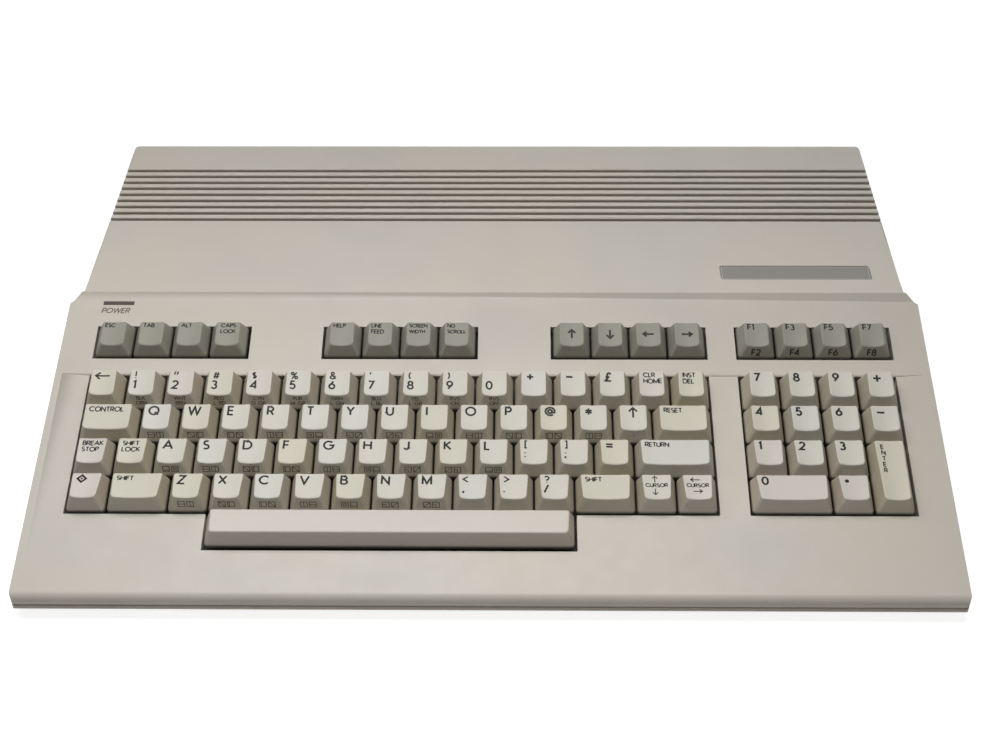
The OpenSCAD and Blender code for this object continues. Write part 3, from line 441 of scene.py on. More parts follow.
def finish(slot):
    """The material of a finish, made once."""
    if slot not in made:
        case, keys = bpy.context.scene.case_look, bpy.context.scene.key_look
        # the pale keycaps get painted shade on their sides and round their lower rims
        painted_key_shade = {"dust_and_painted_shade": key_side_shade_mask, "painted_shade_colour": SIDE_SHADE, "rim_shade_mask": key_rim_shade_mask}
        makers = {
            # the top case gets painted shade deep in its cross grooves
            "case_plastic": lambda: plastic(slot, case.shell, 0.5, coat=0.1, dust_and_painted_shade=groove_shade_mask),
            "base_plastic": lambda: plastic(slot, case.base, 0.56),
            "foot_rubber": lambda: rubber(slot, tone(52, 51, 50)),
            "screw_steel": lambda: metal(slot, (0.56, 0.56, 0.57), 0.34, 0.3),
            "badge": lambda: badge_finish(slot, case.badge),
            "lamp_lens": lambda: gloss(slot, tone(86, 72, 68), 0.16, 0.15),
            "lamp": lambda: gloss(slot, tone(196, 44, 34), 0.12, 0.4),
            "circuit_board": lambda: board(slot, tone(40, 104, 66)),
            "tinned_sheet": lambda: metal(slot, (0.66, 0.67, 0.68), 0.36, 1.0),
            "chip_plastic": lambda: plastic(slot, tone(38, 38, 39), 0.6, 0.2, 0.02),
            "board_fittings": lambda: gloss(slot, tone(62, 78, 120), 0.3),
            "black_plastic": lambda: plastic(slot, tone(38, 37, 36), 0.45, 0.4, 0.01),
            "plug_metal": lambda: metal(slot, (0.68, 0.67, 0.64), 0.28),
            "button_plastic": lambda: plastic(slot, tone(190, 184, 172), 0.42),
            "frame_plastic": lambda: plastic(slot, tone(20, 19, 18), 0.6, 0.5, 0.02),
            "spring_steel": lambda: metal(slot, (0.62, 0.62, 0.63), 0.25),
            "cable_plastic": lambda: plastic(slot, tone(140, 139, 136), 0.4, 0.6, 0.01),
            "pale_keycap": lambda: plastic(slot, keys.neutral, 0.5, 0.22, 0.010, 0.02, 0.008, **painted_key_shade),
            "cream_keycap": lambda: plastic(slot, keys.cream, 0.5, 0.22, 0.010, 0.025, 0.015, **painted_key_shade),
            "cool_keycap": lambda: plastic(slot, keys.cool, 0.48, 0.22, 0.010, 0.02, 0.0, **painted_key_shade),
            "rosy_keycap": lambda: plastic(slot, keys.rosy, 0.5, 0.22, 0.010, 0.02, 0.008, **painted_key_shade),
            # the grey keycaps get painted shade round their lower rims
            "grey_keycap": lambda: plastic(slot, keys.grey, 0.5, 0.22, 0.010, 0.03, 0.01, rim_shade_mask=key_rim_shade_mask),
            "ink": lambda: inked(slot, keys.ink),
            "faint_ink": lambda: inked(slot, keys.faint_ink),
            "grey_ink": lambda: inked(slot, tone(104, 98, 90)),
            "pale_print": lambda: inked(slot, tone(176, 171, 163)),
            "contact_pins": lambda: metal(slot, (0.83, 0.68, 0.36), 0.25),
        }
        made[slot] = makers[slot]()
    return made[slot]


# ---------- meshes ----------


class Shape:
    """Gathers the corners and faces of one piece, in millimetres."""

    def __init__(self):
        self.points = []
        self.faces = []
        self.slots = []

    def add(self, points, faces, slot=0):
        """Adds faces, which count from the first of the points, with the piece's finish of that slot."""
        start = len(self.points)
        self.points += [Vector(p) for p in points]
        self.faces += [[start + i for i in face] for face in faces]
        self.slots += [slot] * len(faces)

    def loft(self, rings, slot=0, caps=True, around=False):
        """Joins rings of equal count, counter-clockwise seen from the last one. With caps both ends are closed,
        and with around the last ring joins the first."""
        count = len(rings[0])
        last = len(rings) if around else len(rings) - 1
        faces = []
        for j in range(last):
            low, high = j * count, (j + 1) % len(rings) * count
            for i in range(count):
                k = (i + 1) % count
                faces.append([low + i, low + k, high + k, high + i])
        if caps and not around:
            faces.append(list(range(count))[::-1])
            faces.append([(len(rings) - 1) * count + i for i in range(count)])
        self.add([p for ring in rings for p in ring], faces, slot)

    def turned(self, profile, place, slot=0, sides=16):
        """A solid of revolution. profile is a list of (radius, height) from the lower end of its axis to the
        upper one, both at radius 0. place turns (x, y, height) into a point."""
        def ring(radius, height):
            angles = [math.tau * i / sides for i in range(sides)]
            return [place(radius * math.cos(a), radius * math.sin(a), height) for a in angles]
        inner = profile[1:-1]
        points = [place(0, 0, profile[0][1])]
        for radius, height in inner:
            points += ring(radius, height)
        points.append(place(0, 0, profile[-1][1]))
        faces = []
        for i in range(sides):
            k = (i + 1) % sides
            faces.append([0, 1 + k, 1 + i])
            for j in range(len(inner) - 1):
                low, high = 1 + j * sides, 1 + (j + 1) * sides
                faces.append([low + i, low + k, high + k, high + i])
            top = 1 + (len(inner) - 1) * sides
            faces.append([top + i, top + k, len(points) - 1])
        self.add(points, faces, slot)

    def object(self, name, materials, smooth=35, weighted=True):
        """The piece itself, in the scene."""
        mesh = bpy.data.meshes.new(name)
        mesh.from_pydata([p * MM for p in self.points], [], self.faces)
        for polygon, slot in zip(mesh.polygons, self.slots):
            polygon.material_index = slot
        mesh.validate()
        return mesh_object(mesh, materials, smooth, weighted)


def mesh_object(mesh, materials, smooth, weighted=True):
    """Puts the mesh into the scene with its finishes. Edges of more than smooth degrees stay sharp, and with
    weighted, large faces keep their flat look beside small roundings."""
    for polygon in mesh.polygons:
        polygon.use_smooth = True
    mesh.set_sharp_from_angle(angle=math.radians(smooth))
    for material in materials:
        mesh.materials.append(finish(material))
    piece = bpy.data.objects.new(mesh.name, mesh)
    bpy.context.scene.collection.objects.link(piece)
    if weighted:
        modifier = piece.modifiers.new("Even normals", "WEIGHTED_NORMAL")
        modifier.keep_sharp = True
        modifier.weight = 100
    return piece


def settle(piece, body, slot, *nodes):
    """Rides the piece on its body and hides the plain nodes that it stands for; its slot is not used."""
    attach(piece, body)
    if nodes:
        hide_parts(*nodes)
    return piece


# ---------- lettering ----------


ARC_STEP = 24                        # degrees between the points of a curved stroke
SPACE_WIDTH = 0.45                   # of the blank, as a share of a sign's height
TRACKING = 0.2                       # between signs, as a share of their height
PROUD = 0.03                         # how far print stands on its surface
SUNK = 0.05                          # how far it reaches into it
LONGEST = 0.9                        # longest step along a stroke, so that print follows a hollow
SHARPEST = 0.45                      # least cosine of half a bend: a stroke's corner is cut short at sharper ones


def arc(cx, cy, rx, ry, start, end):
    """Points along an ellipse between two angles in degrees."""
    steps = max(3, round(abs(end - start) / ARC_STEP))
    angles = [math.radians(start + (end - start) * i / steps) for i in range(steps + 1)]
    return [(cx + rx * math.cos(a), cy + ry * math.sin(a)) for a in angles]


BOWL = [(0, 0), (0, 1), (0.3, 1)] + arc(0.3, 0.73, 0.26, 0.27, 90, -90) + [(0, 0.46)]
ROUND = arc(0.5, 0.5, 0.5, 0.5, 0, 360)
# each sign is a list of strokes, as high as 1
SIGNS = {
    "A": [[(0, 0), (0.47, 1), (0.94, 0)], [(0.16, 0.34), (0.78, 0.34)]],
    "B": [[(0, 0), (0, 1), (0.32, 1)] + arc(0.32, 0.765, 0.235, 0.235, 90, -90) + [(0, 0.53)],
          [(0.32, 0.53)] + arc(0.34, 0.265, 0.28, 0.265, 90, -90) + [(0, 0)]],
    "C": [arc(0.5, 0.5, 0.5, 0.5, 42, 318)],
    "D": [[(0, 0), (0, 1), (0.32, 1)] + arc(0.32, 0.5, 0.5, 0.5, 90, -90) + [(0, 0)]],
    "E": [[(0.54, 1), (0, 1), (0, 0), (0.54, 0)], [(0, 0.52), (0.5, 0.52)]],
    "F": [[(0.5, 1), (0, 1), (0, 0)], [(0, 0.52), (0.46, 0.52)]],
    "G": [arc(0.5, 0.5, 0.5, 0.5, 45, 360) + [(0.56, 0.5)]],
    "H": [[(0, 0), (0, 1)], [(0.72, 0), (0.72, 1)], [(0, 0.52), (0.72, 0.52)]],
    "I": [[(0.05, 0), (0.05, 1)]],
    "J": [[(0.46, 1), (0.46, 0.23)] + arc(0.23, 0.23, 0.23, 0.23, 0, -170)],
    "K": [[(0, 0), (0, 1)], [(0.6, 1), (0, 0.45)], [(0.14, 0.56), (0.66, 0)]],
    "L": [[(0, 1), (0, 0), (0.48, 0)]],
    "M": [[(0, 0), (0, 1), (0.44, 0.1), (0.88, 1), (0.88, 0)]],
    "N": [[(0, 0), (0, 1), (0.74, 0), (0.74, 1)]],
    "O": [ROUND],
    "P": [BOWL],
    "Q": [ROUND, [(0.6, 0.32), (0.98, 0)]],
    "R": [BOWL, [(0.3, 0.46), (0.6, 0)]],
    "S": [arc(0.28, 0.75, 0.25, 0.25, 45, 270) + arc(0.28, 0.25, 0.28, 0.25, 90, -135)[1:]],
    "T": [[(0, 1), (0.64, 1)], [(0.32, 1), (0.32, 0)]],
    "U": [[(0, 1), (0, 0.34)] + arc(0.34, 0.34, 0.34, 0.34, 180, 360) + [(0.68, 1)]],
    "V": [[(0, 1), (0.42, 0), (0.84, 1)]],
    "W": [[(0, 1), (0.31, 0), (0.62, 1), (0.93, 0), (1.24, 1)]],
    "X": [[(0, 0), (0.74, 1)], [(0, 1), (0.74, 0)]],
    "Y": [[(0, 1), (0.37, 0.48), (0.74, 1)], [(0.37, 0.48), (0.37, 0)]],
    "Z": [[(0, 1), (0.66, 1), (0, 0), (0.66, 0)]],
    "0": [arc(0.32, 0.5, 0.32, 0.5, 0, 360)],
    "1": [[(0, 0.84), (0.2, 1), (0.2, 0)]],
    "2": [arc(0.3, 0.71, 0.28, 0.29, 165, -35) + [(0, 0), (0.6, 0)]],
    "3": [arc(0.27, 0.76, 0.24, 0.24, 150, -90), arc(0.27, 0.265, 0.285, 0.265, 90, -150)],
    "4": [[(0.5, 0), (0.5, 1), (0, 0.26), (0.66, 0.26)]],
    "5": [[(0.5, 1), (0.12, 1), (0.06, 0.56)] + arc(0.27, 0.31, 0.29, 0.31, 125, -150)],
    "6": [arc(0.3, 0.31, 0.3, 0.31, 0, 360), [(0.46, 1), (0.05, 0.42)]],
    "7": [[(0, 1), (0.58, 1), (0.16, 0)]],
    "8": [arc(0.3, 0.76, 0.235, 0.24, 0, 360), arc(0.3, 0.26, 0.3, 0.26, 0, 360)],
    "9": [arc(0.3, 0.69, 0.3, 0.31, 0, 360), [(0.55, 0.58), (0.14, 0)]],
    "!": [[(0.1, 1.12), (0.1, 0.34)], [(0.1, 0.13), (0.1, 0)]],
    "\"": [[(0.14, 1.08), (0.02, 0.58)], [(0.48, 1.08), (0.36, 0.58)]],
    "#": [[(0.2, 0), (0.34, 1)], [(0.5, 0), (0.64, 1)], [(0.05, 0.33), (0.75, 0.33)],
          [(0.1, 0.68), (0.8, 0.68)]],
    "$": [arc(0.28, 0.7, 0.2, 0.19, 45, 270) + arc(0.28, 0.31, 0.23, 0.2, 90, -135)[1:],
          [(0.28, 1), (0.28, 0)]],
    "%": [arc(0.16, 0.8, 0.16, 0.18, 0, 360), arc(0.66, 0.2, 0.16, 0.18, 0, 360), [(0.68, 1), (0.14, 0)]],
    "&": [[(0.72, 0), (0.14, 0.7)] + arc(0.3, 0.8, 0.18, 0.2, 200, -40) + [(0.1, 0.38)]
          + arc(0.28, 0.24, 0.26, 0.24, 150, 340) + [(0.66, 0.5)]],
    "'": [[(0.16, 1), (0.08, 0.7)]],
    "(": [arc(0.5, 0.5, 0.42, 0.62, 128, 232)],
    ")": [arc(-0.2, 0.5, 0.42, 0.62, 52, -52)],
    "+": [[(0, 0.5), (0.7, 0.5)], [(0.35, 0.15), (0.35, 0.85)]],
    "-": [[(0, 0.5), (0.7, 0.5)]],
    "£": [arc(0.4, 0.74, 0.2, 0.26, 20, 190) + [(0.2, 0.3), (0, 0), (0.62, 0)], [(0.02, 0.48), (0.46, 0.48)]],
    "@": [arc(0.5, 0.5, 0.5, 0.5, -50, -350) + [(0.96, 0.36), (0.74, 0.36), (0.7, 0.68)],
          arc(0.49, 0.5, 0.21, 0.22, 0, 360)],
    "*": [[(0.35, 0.12), (0.35, 0.9)], [(0.02, 0.32), (0.68, 0.7)], [(0.02, 0.7), (0.68, 0.32)]],
    ":": [[(0.1, 0.66), (0.1, 0.54)], [(0.1, 0.14), (0.1, 0.02)]],
    ";": [[(0.1, 0.66), (0.1, 0.54)], [(0.12, 0.14), (0.04, -0.12)]],
    "[": [[(0.3, 1.05), (0.06, 1.05), (0.06, -0.05), (0.3, -0.05)]],
    "]": [[(0, 1.05), (0.24, 1.05), (0.24, -0.05), (0, -0.05)]],
    "=": [[(0, 0.66), (0.7, 0.66)], [(0, 0.34), (0.7, 0.34)]],
    ",": [[(0.16, 0.14), (0.06, -0.16)]],
    ".": [[(0.08, 0.14), (0.08, 0.0)]],
    "<": [[(0.6, 0.92), (0, 0.5), (0.6, 0.08)]],
    ">": [[(0, 0.92), (0.6, 0.5), (0, 0.08)]],
    "/": [[(0, -0.05), (0.42, 1.05)]],
    "?": [arc(0.25, 0.74, 0.25, 0.26, 160, -50) + [(0.25, 0.42), (0.25, 0.28)], [(0.25, 0.1), (0.25, 0)]],
    "←": [[(1.75, 0.5), (0, 0.5)], [(0.55, 0.98), (0, 0.5), (0.55, 0.02)]],
    "→": [[(0, 0.5), (1.75, 0.5)], [(1.2, 0.98), (1.75, 0.5), (1.2, 0.02)]],
    "↑": [[(0.36, 0), (0.36, 1)], [(0, 0.62), (0.36, 1), (0.72, 0.62)]],
    "↓": [[(0.36, 0), (0.36, 1)], [(0, 0.38), (0.36, 0), (0.72, 0.38)]],
    "◇": [[(0.5, 1), (0, 0.5), (0.5, 0), (1, 0.5), (0.5, 1)], [(0.5, 0.62), (0.5, 0.38)]],
    "•": [arc(0.3, 0.5, 0.12, 0.12, 0, 360), [(0.28, 0.5), (0.32, 0.5)]],
    " ": [],
}


def sign_width(sign):
    """Width of a sign that is 1 high."""
    return max((x for stroke in SIGNS[sign] for x, _ in stroke), default=SPACE_WIDTH)


def word_width(text, height):
    """Width of text whose signs are height high."""
    return height * (sum(sign_width(s) + TRACKING for s in text) - TRACKING)


def stepped(points, closed):
    """The same line with no step longer than LONGEST."""
    out = []
    pairs = zip(points, points[1:] + points[:1]) if closed else zip(points, points[1:])
    for p, q in pairs:
        parts = max(1, math.ceil((Vector(q) - Vector(p)).length / LONGEST))
        out += [Vector(p).lerp(Vector(q), i / parts) for i in range(parts)]
    return out if closed else out + [Vector(points[-1])]


def stroke(shape, points, width, place, slot):
    """A flat ribbon along points, as a thin closed solid. place turns (u, w, lift) into a point."""
    closed = (Vector(points[0]) - Vector(points[-1])).length < 1e-6
    line = stepped(points[:-1] if closed else points, closed)
    count = len(line)
    rings = []
    for i, p in enumerate(line):
        before = line[i - 1] if closed or i else None
        after = line[(i + 1) % count] if closed or i < count - 1 else None
        ways = [w.normalized() for w in (p - before if before is not None else None,
                                         after - p if after is not None else None) if w is not None]
        mean = sum(ways, Vector((0, 0)))
        mean = mean.normalized() if mean.length > 1e-6 else ways[0]
        side = Vector((-mean.y, mean.x))
        reach = width / 2 / max(SHARPEST, side.dot(Vector((-ways[0].y, ways[0].x))))
        left, right = p + side * reach, p - side * reach
        rings.append([place(left.x, left.y, -SUNK), place(right.x, right.y, -SUNK),
                      place(right.x, right.y, PROUD), place(left.x, left.y, PROUD)])
    shape.loft(rings, slot, around=closed)


def write(shape, text, left, base, height, width, place, slot, slant=0.0, down=0.0):
    """Writes text with its lower left corner at (left, base). With down, signs stand below each other."""
    for sign in text:
        for points in SIGNS[sign]:
            line = [(left + (x + slant * y) * height, base + y * height) for x, y in points]
            stroke(shape, line, width, place, slot)
        if down:
            base -= down
        else:
            left += (sign_width(sign) + TRACKING) * height


# ---------- keycaps ----------

# places of a key's finishes: its keycap's plastic, then those of its plunger, its pad and both inks
CAP, GUIDE, PAD, INK, FAINT_INK = range(5)
OTHER_FINISHES = ["frame_plastic", "foot_rubber", "ink", "faint_ink"]

# marks on a key: (face, text, left, drop, height, width of stroke); left and drop run from the
# upper left corner of the key's top, or of its front


def letter(sign, box):
    """A large letter, with two small boxes on the front."""
    return [("top", sign, 2.4, 1.4, 4.5, 0.98), ("boxes", box, 0, 0, 0, 0)]


def pair(upper, lower, *under):
    """Two signs below each other, with words on the front."""
    drops = [("front", word, None, 1.1 + 2.9 * i, 1.9, 0.36) for i, word in enumerate(under)]
    return [("top", upper, 2.2, 1.1, 3.7, 0.74), ("top", lower, 2.0, 6.2, 4.2, 0.9), *drops]


def words(*lines, height=2.3, left=2.1, drop=1.6, width=0.56):
    """Words below each other."""
    return [("top", line, left, drop + 3.5 * i, height, width) for i, line in enumerate(lines)]


def digit(sign):
    """A bold digit of the number pad."""
    return [("top", sign, 2.3, 1.3, 4.1, 1.0)]


def plain(sign, size=4.4):
    """One large sign."""
    return [("top", sign, 2.6, 1.2, size, 1.05)]


def small(*lines):
    """Words on a grey key."""
    return words(*lines, height=2.0, left=1.4, drop=1.0, width=0.52)


def tiny(*lines):
    """Longer words on a grey key."""
    return words(*lines, height=1.8, left=1.2, drop=1.1, width=0.48)


def arrow(sign):
    """An arrow in the middle of the top."""
    return [("middle", sign, 0, 0, 2.9 if sign in "←→" else 5.0, 1.0)]


def function(upper, lower):
    """A word on the top and another on the front."""
    return [("top", upper, 1.9, 0.9, 3.1, 0.68), ("front", lower, 3.4, 1.9, 3.1, 0.68)]


def run(first, count, row):
    """Places of neighbouring keys, each one key wide."""
    return [(first + i, 1, row, 1) for i in range(count)]


COLOURS = [("BLK", "ORN"), ("WHT", "BRN"), ("RED", "L RD"), ("CYN", "D GR"), ("PUR", "M GR"), ("GRN", "L GN"),
           ("BLU", "L BL"), ("YEL", "L GR"), ("RVS", "ON"), ("RVS", "OFF")]
NUMBER_MARKS = ([[("top", "←", 2.0, 1.4, 3.9, 0.85)]]
                + [pair(*signs, *names) for *signs, names in zip("!\"#$%&'() ", "1234567890", COLOURS)]
                + [plain(sign) for sign in "+-£"])
UP_ARROW = [("top", "↑", 4.2, 1.4, 5.6, 0.9), ("front", "'", None, 3.0, 2.4, 0.4)]
CURSOR = ("top", "CURSOR", 1.5, 5.1, 1.9, 0.46)
PUNCTUATION = [pair("[", ":"), pair("]", ";"), plain("=")]

# each node of keys: places as (left edge in key widths, width, row, rows deep), and the marks on each key
PALE_KEYS = {
    "space_bar": ([(3.5, 9, 0, 1)], [[]]),
    "symbol_key": (run(0, 1, 1), [plain("◇", 3.9)]),
    "left_shift_key": ([(1, 1.5, 1, 1)], [words("SHIFT")]),
    "lower_letter_keys": (run(2.5, 10, 1), [letter(s, i) for i, s in enumerate("ZXCVBNM")]
                          + [pair("<", ","), pair(">", "."), pair("?", "/")]),
    "right_shift_key": ([(12.5, 1.5, 1, 1)], [words("SHIFT")]),
    "cursor_up_down_key": (run(14, 1, 1),
                           [[("top", "↑", 4.6, 0.8, 3.4, 0.5), CURSOR, ("top", "↓", 4.6, 8.0, 3.4, 0.5)]]),
    "cursor_left_right_key": (run(15, 1, 1),
                              [[("top", "←", 3.5, 1.6, 2.4, 0.5), CURSOR, ("top", "→", 4.3, 8.2, 2.4, 0.5)]]),
    "run_stop_key": (run(0, 1, 2), [words("BREAK", "STOP")]),
    "shift_lock_key": (run(1, 1, 2), [words("SHIFT", "LOCK")]),
    "home_letter_keys": (run(2, 12, 2), [letter(s, i + 7) for i, s in enumerate("ASDFGHJKL")] + PUNCTUATION),
    "return_key": ([(14, 2, 2, 1)], [words("RETURN")]),
    "control_key": ([(0, 1.5, 3, 1)], [words("CONTROL", height=2.5, width=0.6)]),
    "upper_letter_keys": (run(1.5, 13, 3),
                          [letter(s, i + 16) for i, s in enumerate("QWERTYUIOP@*")] + [UP_ARROW]),
    "restore_key": ([(14.5, 1.5, 3, 1)], [words("RESET")]),
    "number_keys": (run(0, 14, 4), NUMBER_MARKS),
    "edit_keys": (run(14, 2, 4), [words("CLR", "HOME", drop=1.0), words("INST", "DEL", drop=1.0)]),
    "number_pad_keys": (run(PAD_U, 4, 4) + run(PAD_U, 4, 3) + run(PAD_U, 3, 2) + run(PAD_U + 2, 1, 1),
                        [plain(s, 5.2) if s in "+-" else digit(s) for s in "789+456-123•"]),
    "zero_key": ([(PAD_U, 2, 1, 1)], [digit("0")]),
    "enter_key": ([(PAD_U + 3, 1, 1, 2)], [[("column", "ENTER", 2.6, 2.4, 2.2, 0.56)]]),
}
GREY_KEYS = {
    "escape_key": (run(0, 1, 5), [small("ESC")]),
    "tab_key": (run(1, 1, 5), [small("TAB")]),
    "alt_key": (run(2, 1, 5), [small("ALT")]),
    "caps_lock_key": (run(3, 1, 5), [words("CAPS", "LOCK", height=2.0, left=2.3, drop=1.0, width=0.52)]),
    "help_key": (run(6, 1, 5), [small("HELP")]),
    "line_feed_key": (run(7, 1, 5), [small("LINE", "FEED")]),
    "display_key": (run(8, 1, 5), [tiny("SCREEN", "WIDTH")]),
    "no_scroll_key": (run(9, 1, 5), [tiny("NO", "SCROLL")]),
    "up_key": (run(12, 1, 5), [arrow("↑")]),
    "down_key": (run(13, 1, 5), [arrow("↓")]),
    "left_key": (run(14, 1, 5), [arrow("←")]),
    "right_key": (run(15, 1, 5), [arrow("→")]),
    "function_keys": (run(PAD_U, 4, 5), [function("F1", "F2"), function("F3", "F4"), function("F5", "F6"),
                                         function("F7", "F8")]),
}
# tint of each key of a node: c for yellowed, w for whiter, r for faintly pink and - for the usual plastic
TINT_FINISHES = {"c": "cream_keycap", "w": "cool_keycap", "r": "rosy_keycap"}
TINTS = {
    "space_bar": "r", "symbol_key": "r", "left_shift_key": "c", "lower_letter_keys": "c-w-c--w--",
    "right_shift_key": "c", "cursor_left_right_key": "r", "run_stop_key": "r", "shift_lock_key": "c",
    "home_letter_keys": "-w-cw--c---c", "return_key": "w", "control_key": "c",
    "upper_letter_keys": "wc--ww-c--c--", "restore_key": "c", "number_keys": "c-rcr--w---w--",
    "edit_keys": "rc", "number_pad_keys": "----cw--r--r", "zero_key": "r", "enter_key": "c",
}


class Key:
    """Sizes of one keycap and the ways to its surfaces."""

    def __init__(self, place, dish=0.0, fillet=0.0):
        left, width, row, deep = place
        grey = row == GREY_ROW
        self.bar = row == 0
        # width and depth of the skirt, and height of the top at its front and its rear
        self.w = width * PITCH - SKIRT_GAP
        self.d = deep * PITCH - (BAR_GAP if self.bar else SKIRT_GAP)
        self.front, self.back = CAP_HEIGHTS[row]
        # the middle of the key, and its plungers to the left and right of it
        row_v = GREY_V if grey else BLOCK_V + (row - 1) * PITCH
        self.x = BLOCK_X + (left + width / 2) * PITCH
        self.v = row_v + PITCH / 2 + (deep - 1) * PITCH / 2 + (BAR_LIFT if self.bar else 0)
        self.guides = [-width * PITCH / 3, 0, width * PITCH / 3] if self.bar else [0]
        # run of the front face, how fast the sides lean in, and the top's front and rear edge
        self.run = GREY_FRONT if grey else CAP_FRONT
        side, by = (GREY_SIDE, self.front) if grey else (CAP_SIDE, LEAN_TOP)
        self.rate = side / (by - CAP_SHOULDER)
        self.front_v = self.run - self.d / 2
        self.back_v = self.d / 2 - CAP_BACK
        self.dish = 0 if self.bar else dish
        self.fillet = BAR_FILLET if self.bar else fillet
        self.bow = 2 + 1.6 * (width - 1)  # a long key's hollow is flat in its middle

    def at(self, x, v, n):
        """The point at x and v from the key's middle, and n over the deck plane."""
        return on_deck(self.x + x, self.v + v, n)

    def lean(self, n):
        """How far a side has leaned in at height n."""
        return self.rate * (n - CAP_SHOULDER)

    def plane(self, v):
        """Height of the top without its hollow."""
        return self.front + (self.back - self.front) * (v - self.front_v) / (self.back_v - self.front_v)

    def hollow(self, x, v):
        """Depth of the hollow, which is half as deep at the rear as at the front."""
        half = self.w / 2 - self.lean(self.plane(v))
        rear = (v - self.front_v) / (self.back_v - self.front_v)
        share = max(0.0, 1 - abs(x / half) ** self.bow)
        return self.dish * share * (1 - 0.5 * rear)

    def top(self, x, v):
        """Height of the top, with its hollow."""
        return self.plane(v) - self.hollow(x, v)

    def outline(self, front, back, half_front, half_back, r_front, r_back):
        """Counter-clockwise outline with round corners, as (x, v), always with the same count of points."""
        turn = 5                               # points on each corner
        edge = 5 + 2 * round(self.w / PITCH)   # points between corners, along the front and the rear
        corners = [(-half_front, front, r_front, 180), (half_front, front, r_front, 270),
                   (half_back, back, r_back, 0), (-half_back, back, r_back, 90)]
        rounded = []
        for x, v, r, start in corners:
            cx = x + (r if x < 0 else -r)
            cv = v + (r if v == front else -r)
            angles = [math.radians(start + 90 * i / (turn - 1)) for i in range(turn)]
            rounded.append([(cx + r * math.cos(a), cv + r * math.sin(a)) for a in angles])
        out = []
        for i, corner in enumerate(rounded):
            out += corner
            p, q = corner[-1], rounded[(i + 1) % 4][0]
            between = edge if i % 2 == 0 else 3
            out += [(p[0] + (q[0] - p[0]) * j / (between + 1), p[1] + (q[1] - p[1]) * j / (between + 1))
                    for j in range(1, between + 1)]
        return out

    def base_outline(self, inset=0.0, r=1.5):
        """Outline of the skirt."""
        back, side = self.d / 2 - inset, self.w / 2 - inset
        return self.outline(-back, back, side, side, r, r)

    def top_outline(self, inset=0.0):
        """Outline of the top, moved in by inset."""
        half_front, half_back = (self.w / 2 - self.lean(height) - inset for height in (self.front, self.back))
        return self.outline(self.front_v + inset, self.back_v - inset, half_front, half_back,
                            *(max(0.3, r - inset) for r in TOP_CORNERS))

    def body(self, shape):
        """The outer skin, the hollow underneath, the post, the plunger and its pad."""
        base = self.base_outline()
        low = [self.at(x, v, CAP_BASE) for x, v in base]
        shoulder = [self.at(x, v, CAP_SHOULDER) for x, v in base]
        edge = []
        for foot, (x, v) in zip(shoulder, self.top_outline()):
            height = self.plane(v) - CAP_SHOULDER
            edge.append(foot.lerp(self.at(x, v, self.plane(v)), 1 - self.hollow(x, v) / height))
        inner = [self.at(x, v, self.top(x, v)) for x, v in self.top_outline(self.fillet)]
        below = [p + (q - p).normalized() * self.fillet for p, q in zip(edge, shoulder)]
        rings = [low, shoulder, below]
        for t in (0.25, 0.5, 0.75):            # along the rounding
            rings.append([a * (1 - t) ** 2 + p * 2 * t * (1 - t) + b * t * t
                          for a, p, b in zip(below, edge, inner)])
        rings.append(inner)
        middle_v = (self.front_v + self.back_v) / 2
        for share in (0.82, 0.6, 0.36, 0.14):  # towards the middle of the hollow
            scaled = [(x * share, middle_v + (v - middle_v) * share) for x, v in self.top_outline(self.fillet)]
            rings.append([self.at(x, v, self.top(x, v)) for x, v in scaled])
        roof = min(self.front, self.back) - self.dish - CAP_WALL
        shrink = CAP_WALL + self.lean(roof)
        inside_top = self.outline(self.front_v + CAP_WALL, self.back_v - CAP_WALL,
                                  self.w / 2 - shrink, self.w / 2 - shrink, 0.5, 0.5)
        inside_low = self.base_outline(CAP_WALL, 0.5)
        rings = [[self.at(x, v, roof) for x, v in inside_top],
                 [self.at(x, v, CAP_SHOULDER) for x, v in inside_low],
                 [self.at(x, v, CAP_BASE) for x, v in inside_low]] + rings
        shape.loft(rings, CAP)
        post_top, plunger_top, sole = roof + 0.2, POST_N + 1, FOOT_N - FOOT_T
        for guide in self.guides:
            def place(x, y, z, guide=guide):
                return self.at(guide + x, y, z)
            shape.turned([(0, POST_N), (POST_R, POST_N), (POST_R, post_top), (0, post_top)], place, CAP, 14)
            shape.turned([(0, sole), (FOOT_R, sole), (FOOT_R, FOOT_N), (PLUNGER_R, FOOT_N),
                          (PLUNGER_R, plunger_top), (0, plunger_top)], place, GUIDE, 14)
            shape.turned([(0, sole - 0.68), (PLUNGER_R - 0.4, sole - 0.68), (PLUNGER_R, sole - 0.4),
                          (PLUNGER_R, sole - 0.02), (0, sole - 0.02)], place, PAD, 14)

    def legend(self, shape, marks):
        """Writes the marks on the top and on the front."""
        def top(u, w, lift):
            return self.at(u, w, self.top(u, w) + lift)

        # the front face: u across its middle, w up from the shoulder along the face
        rise = Vector((self.run, self.front - CAP_SHOULDER))
        length = rise.length
        up, out = rise.normalized(), Vector((-rise.y, rise.x)).normalized()

        def front(u, w, lift):
            flat = up * w + out * lift
            return self.at(u, flat.x - self.d / 2, CAP_SHOULDER + flat.y)

        left_edge = -self.w / 2 + self.lean(self.back)
        for face, text, left, drop, height, width in marks:
            if face in ("top", "column"):
                base = self.back_v - drop - height
                down = height * 1.5 if face == "column" else 0
                write(shape, text, left_edge + left, base, height, width, top, INK, down=down)
            elif face == "middle":
                middle_v = (self.front_v + self.back_v) / 2
                write(shape, text, -word_width(text, height) / 2, middle_v - height / 2, height, width, top, INK)
            elif face == "front":
                centred = left is None
                start = -word_width(text, height) / 2 if centred else left - self.w / 2 + self.lean(self.front)
                ink = FAINT_INK if centred else INK
                write(shape, text, start, length - self.dish - drop - height, height, width, front, ink)
            else:
                self.boxes(shape, text, length, front)

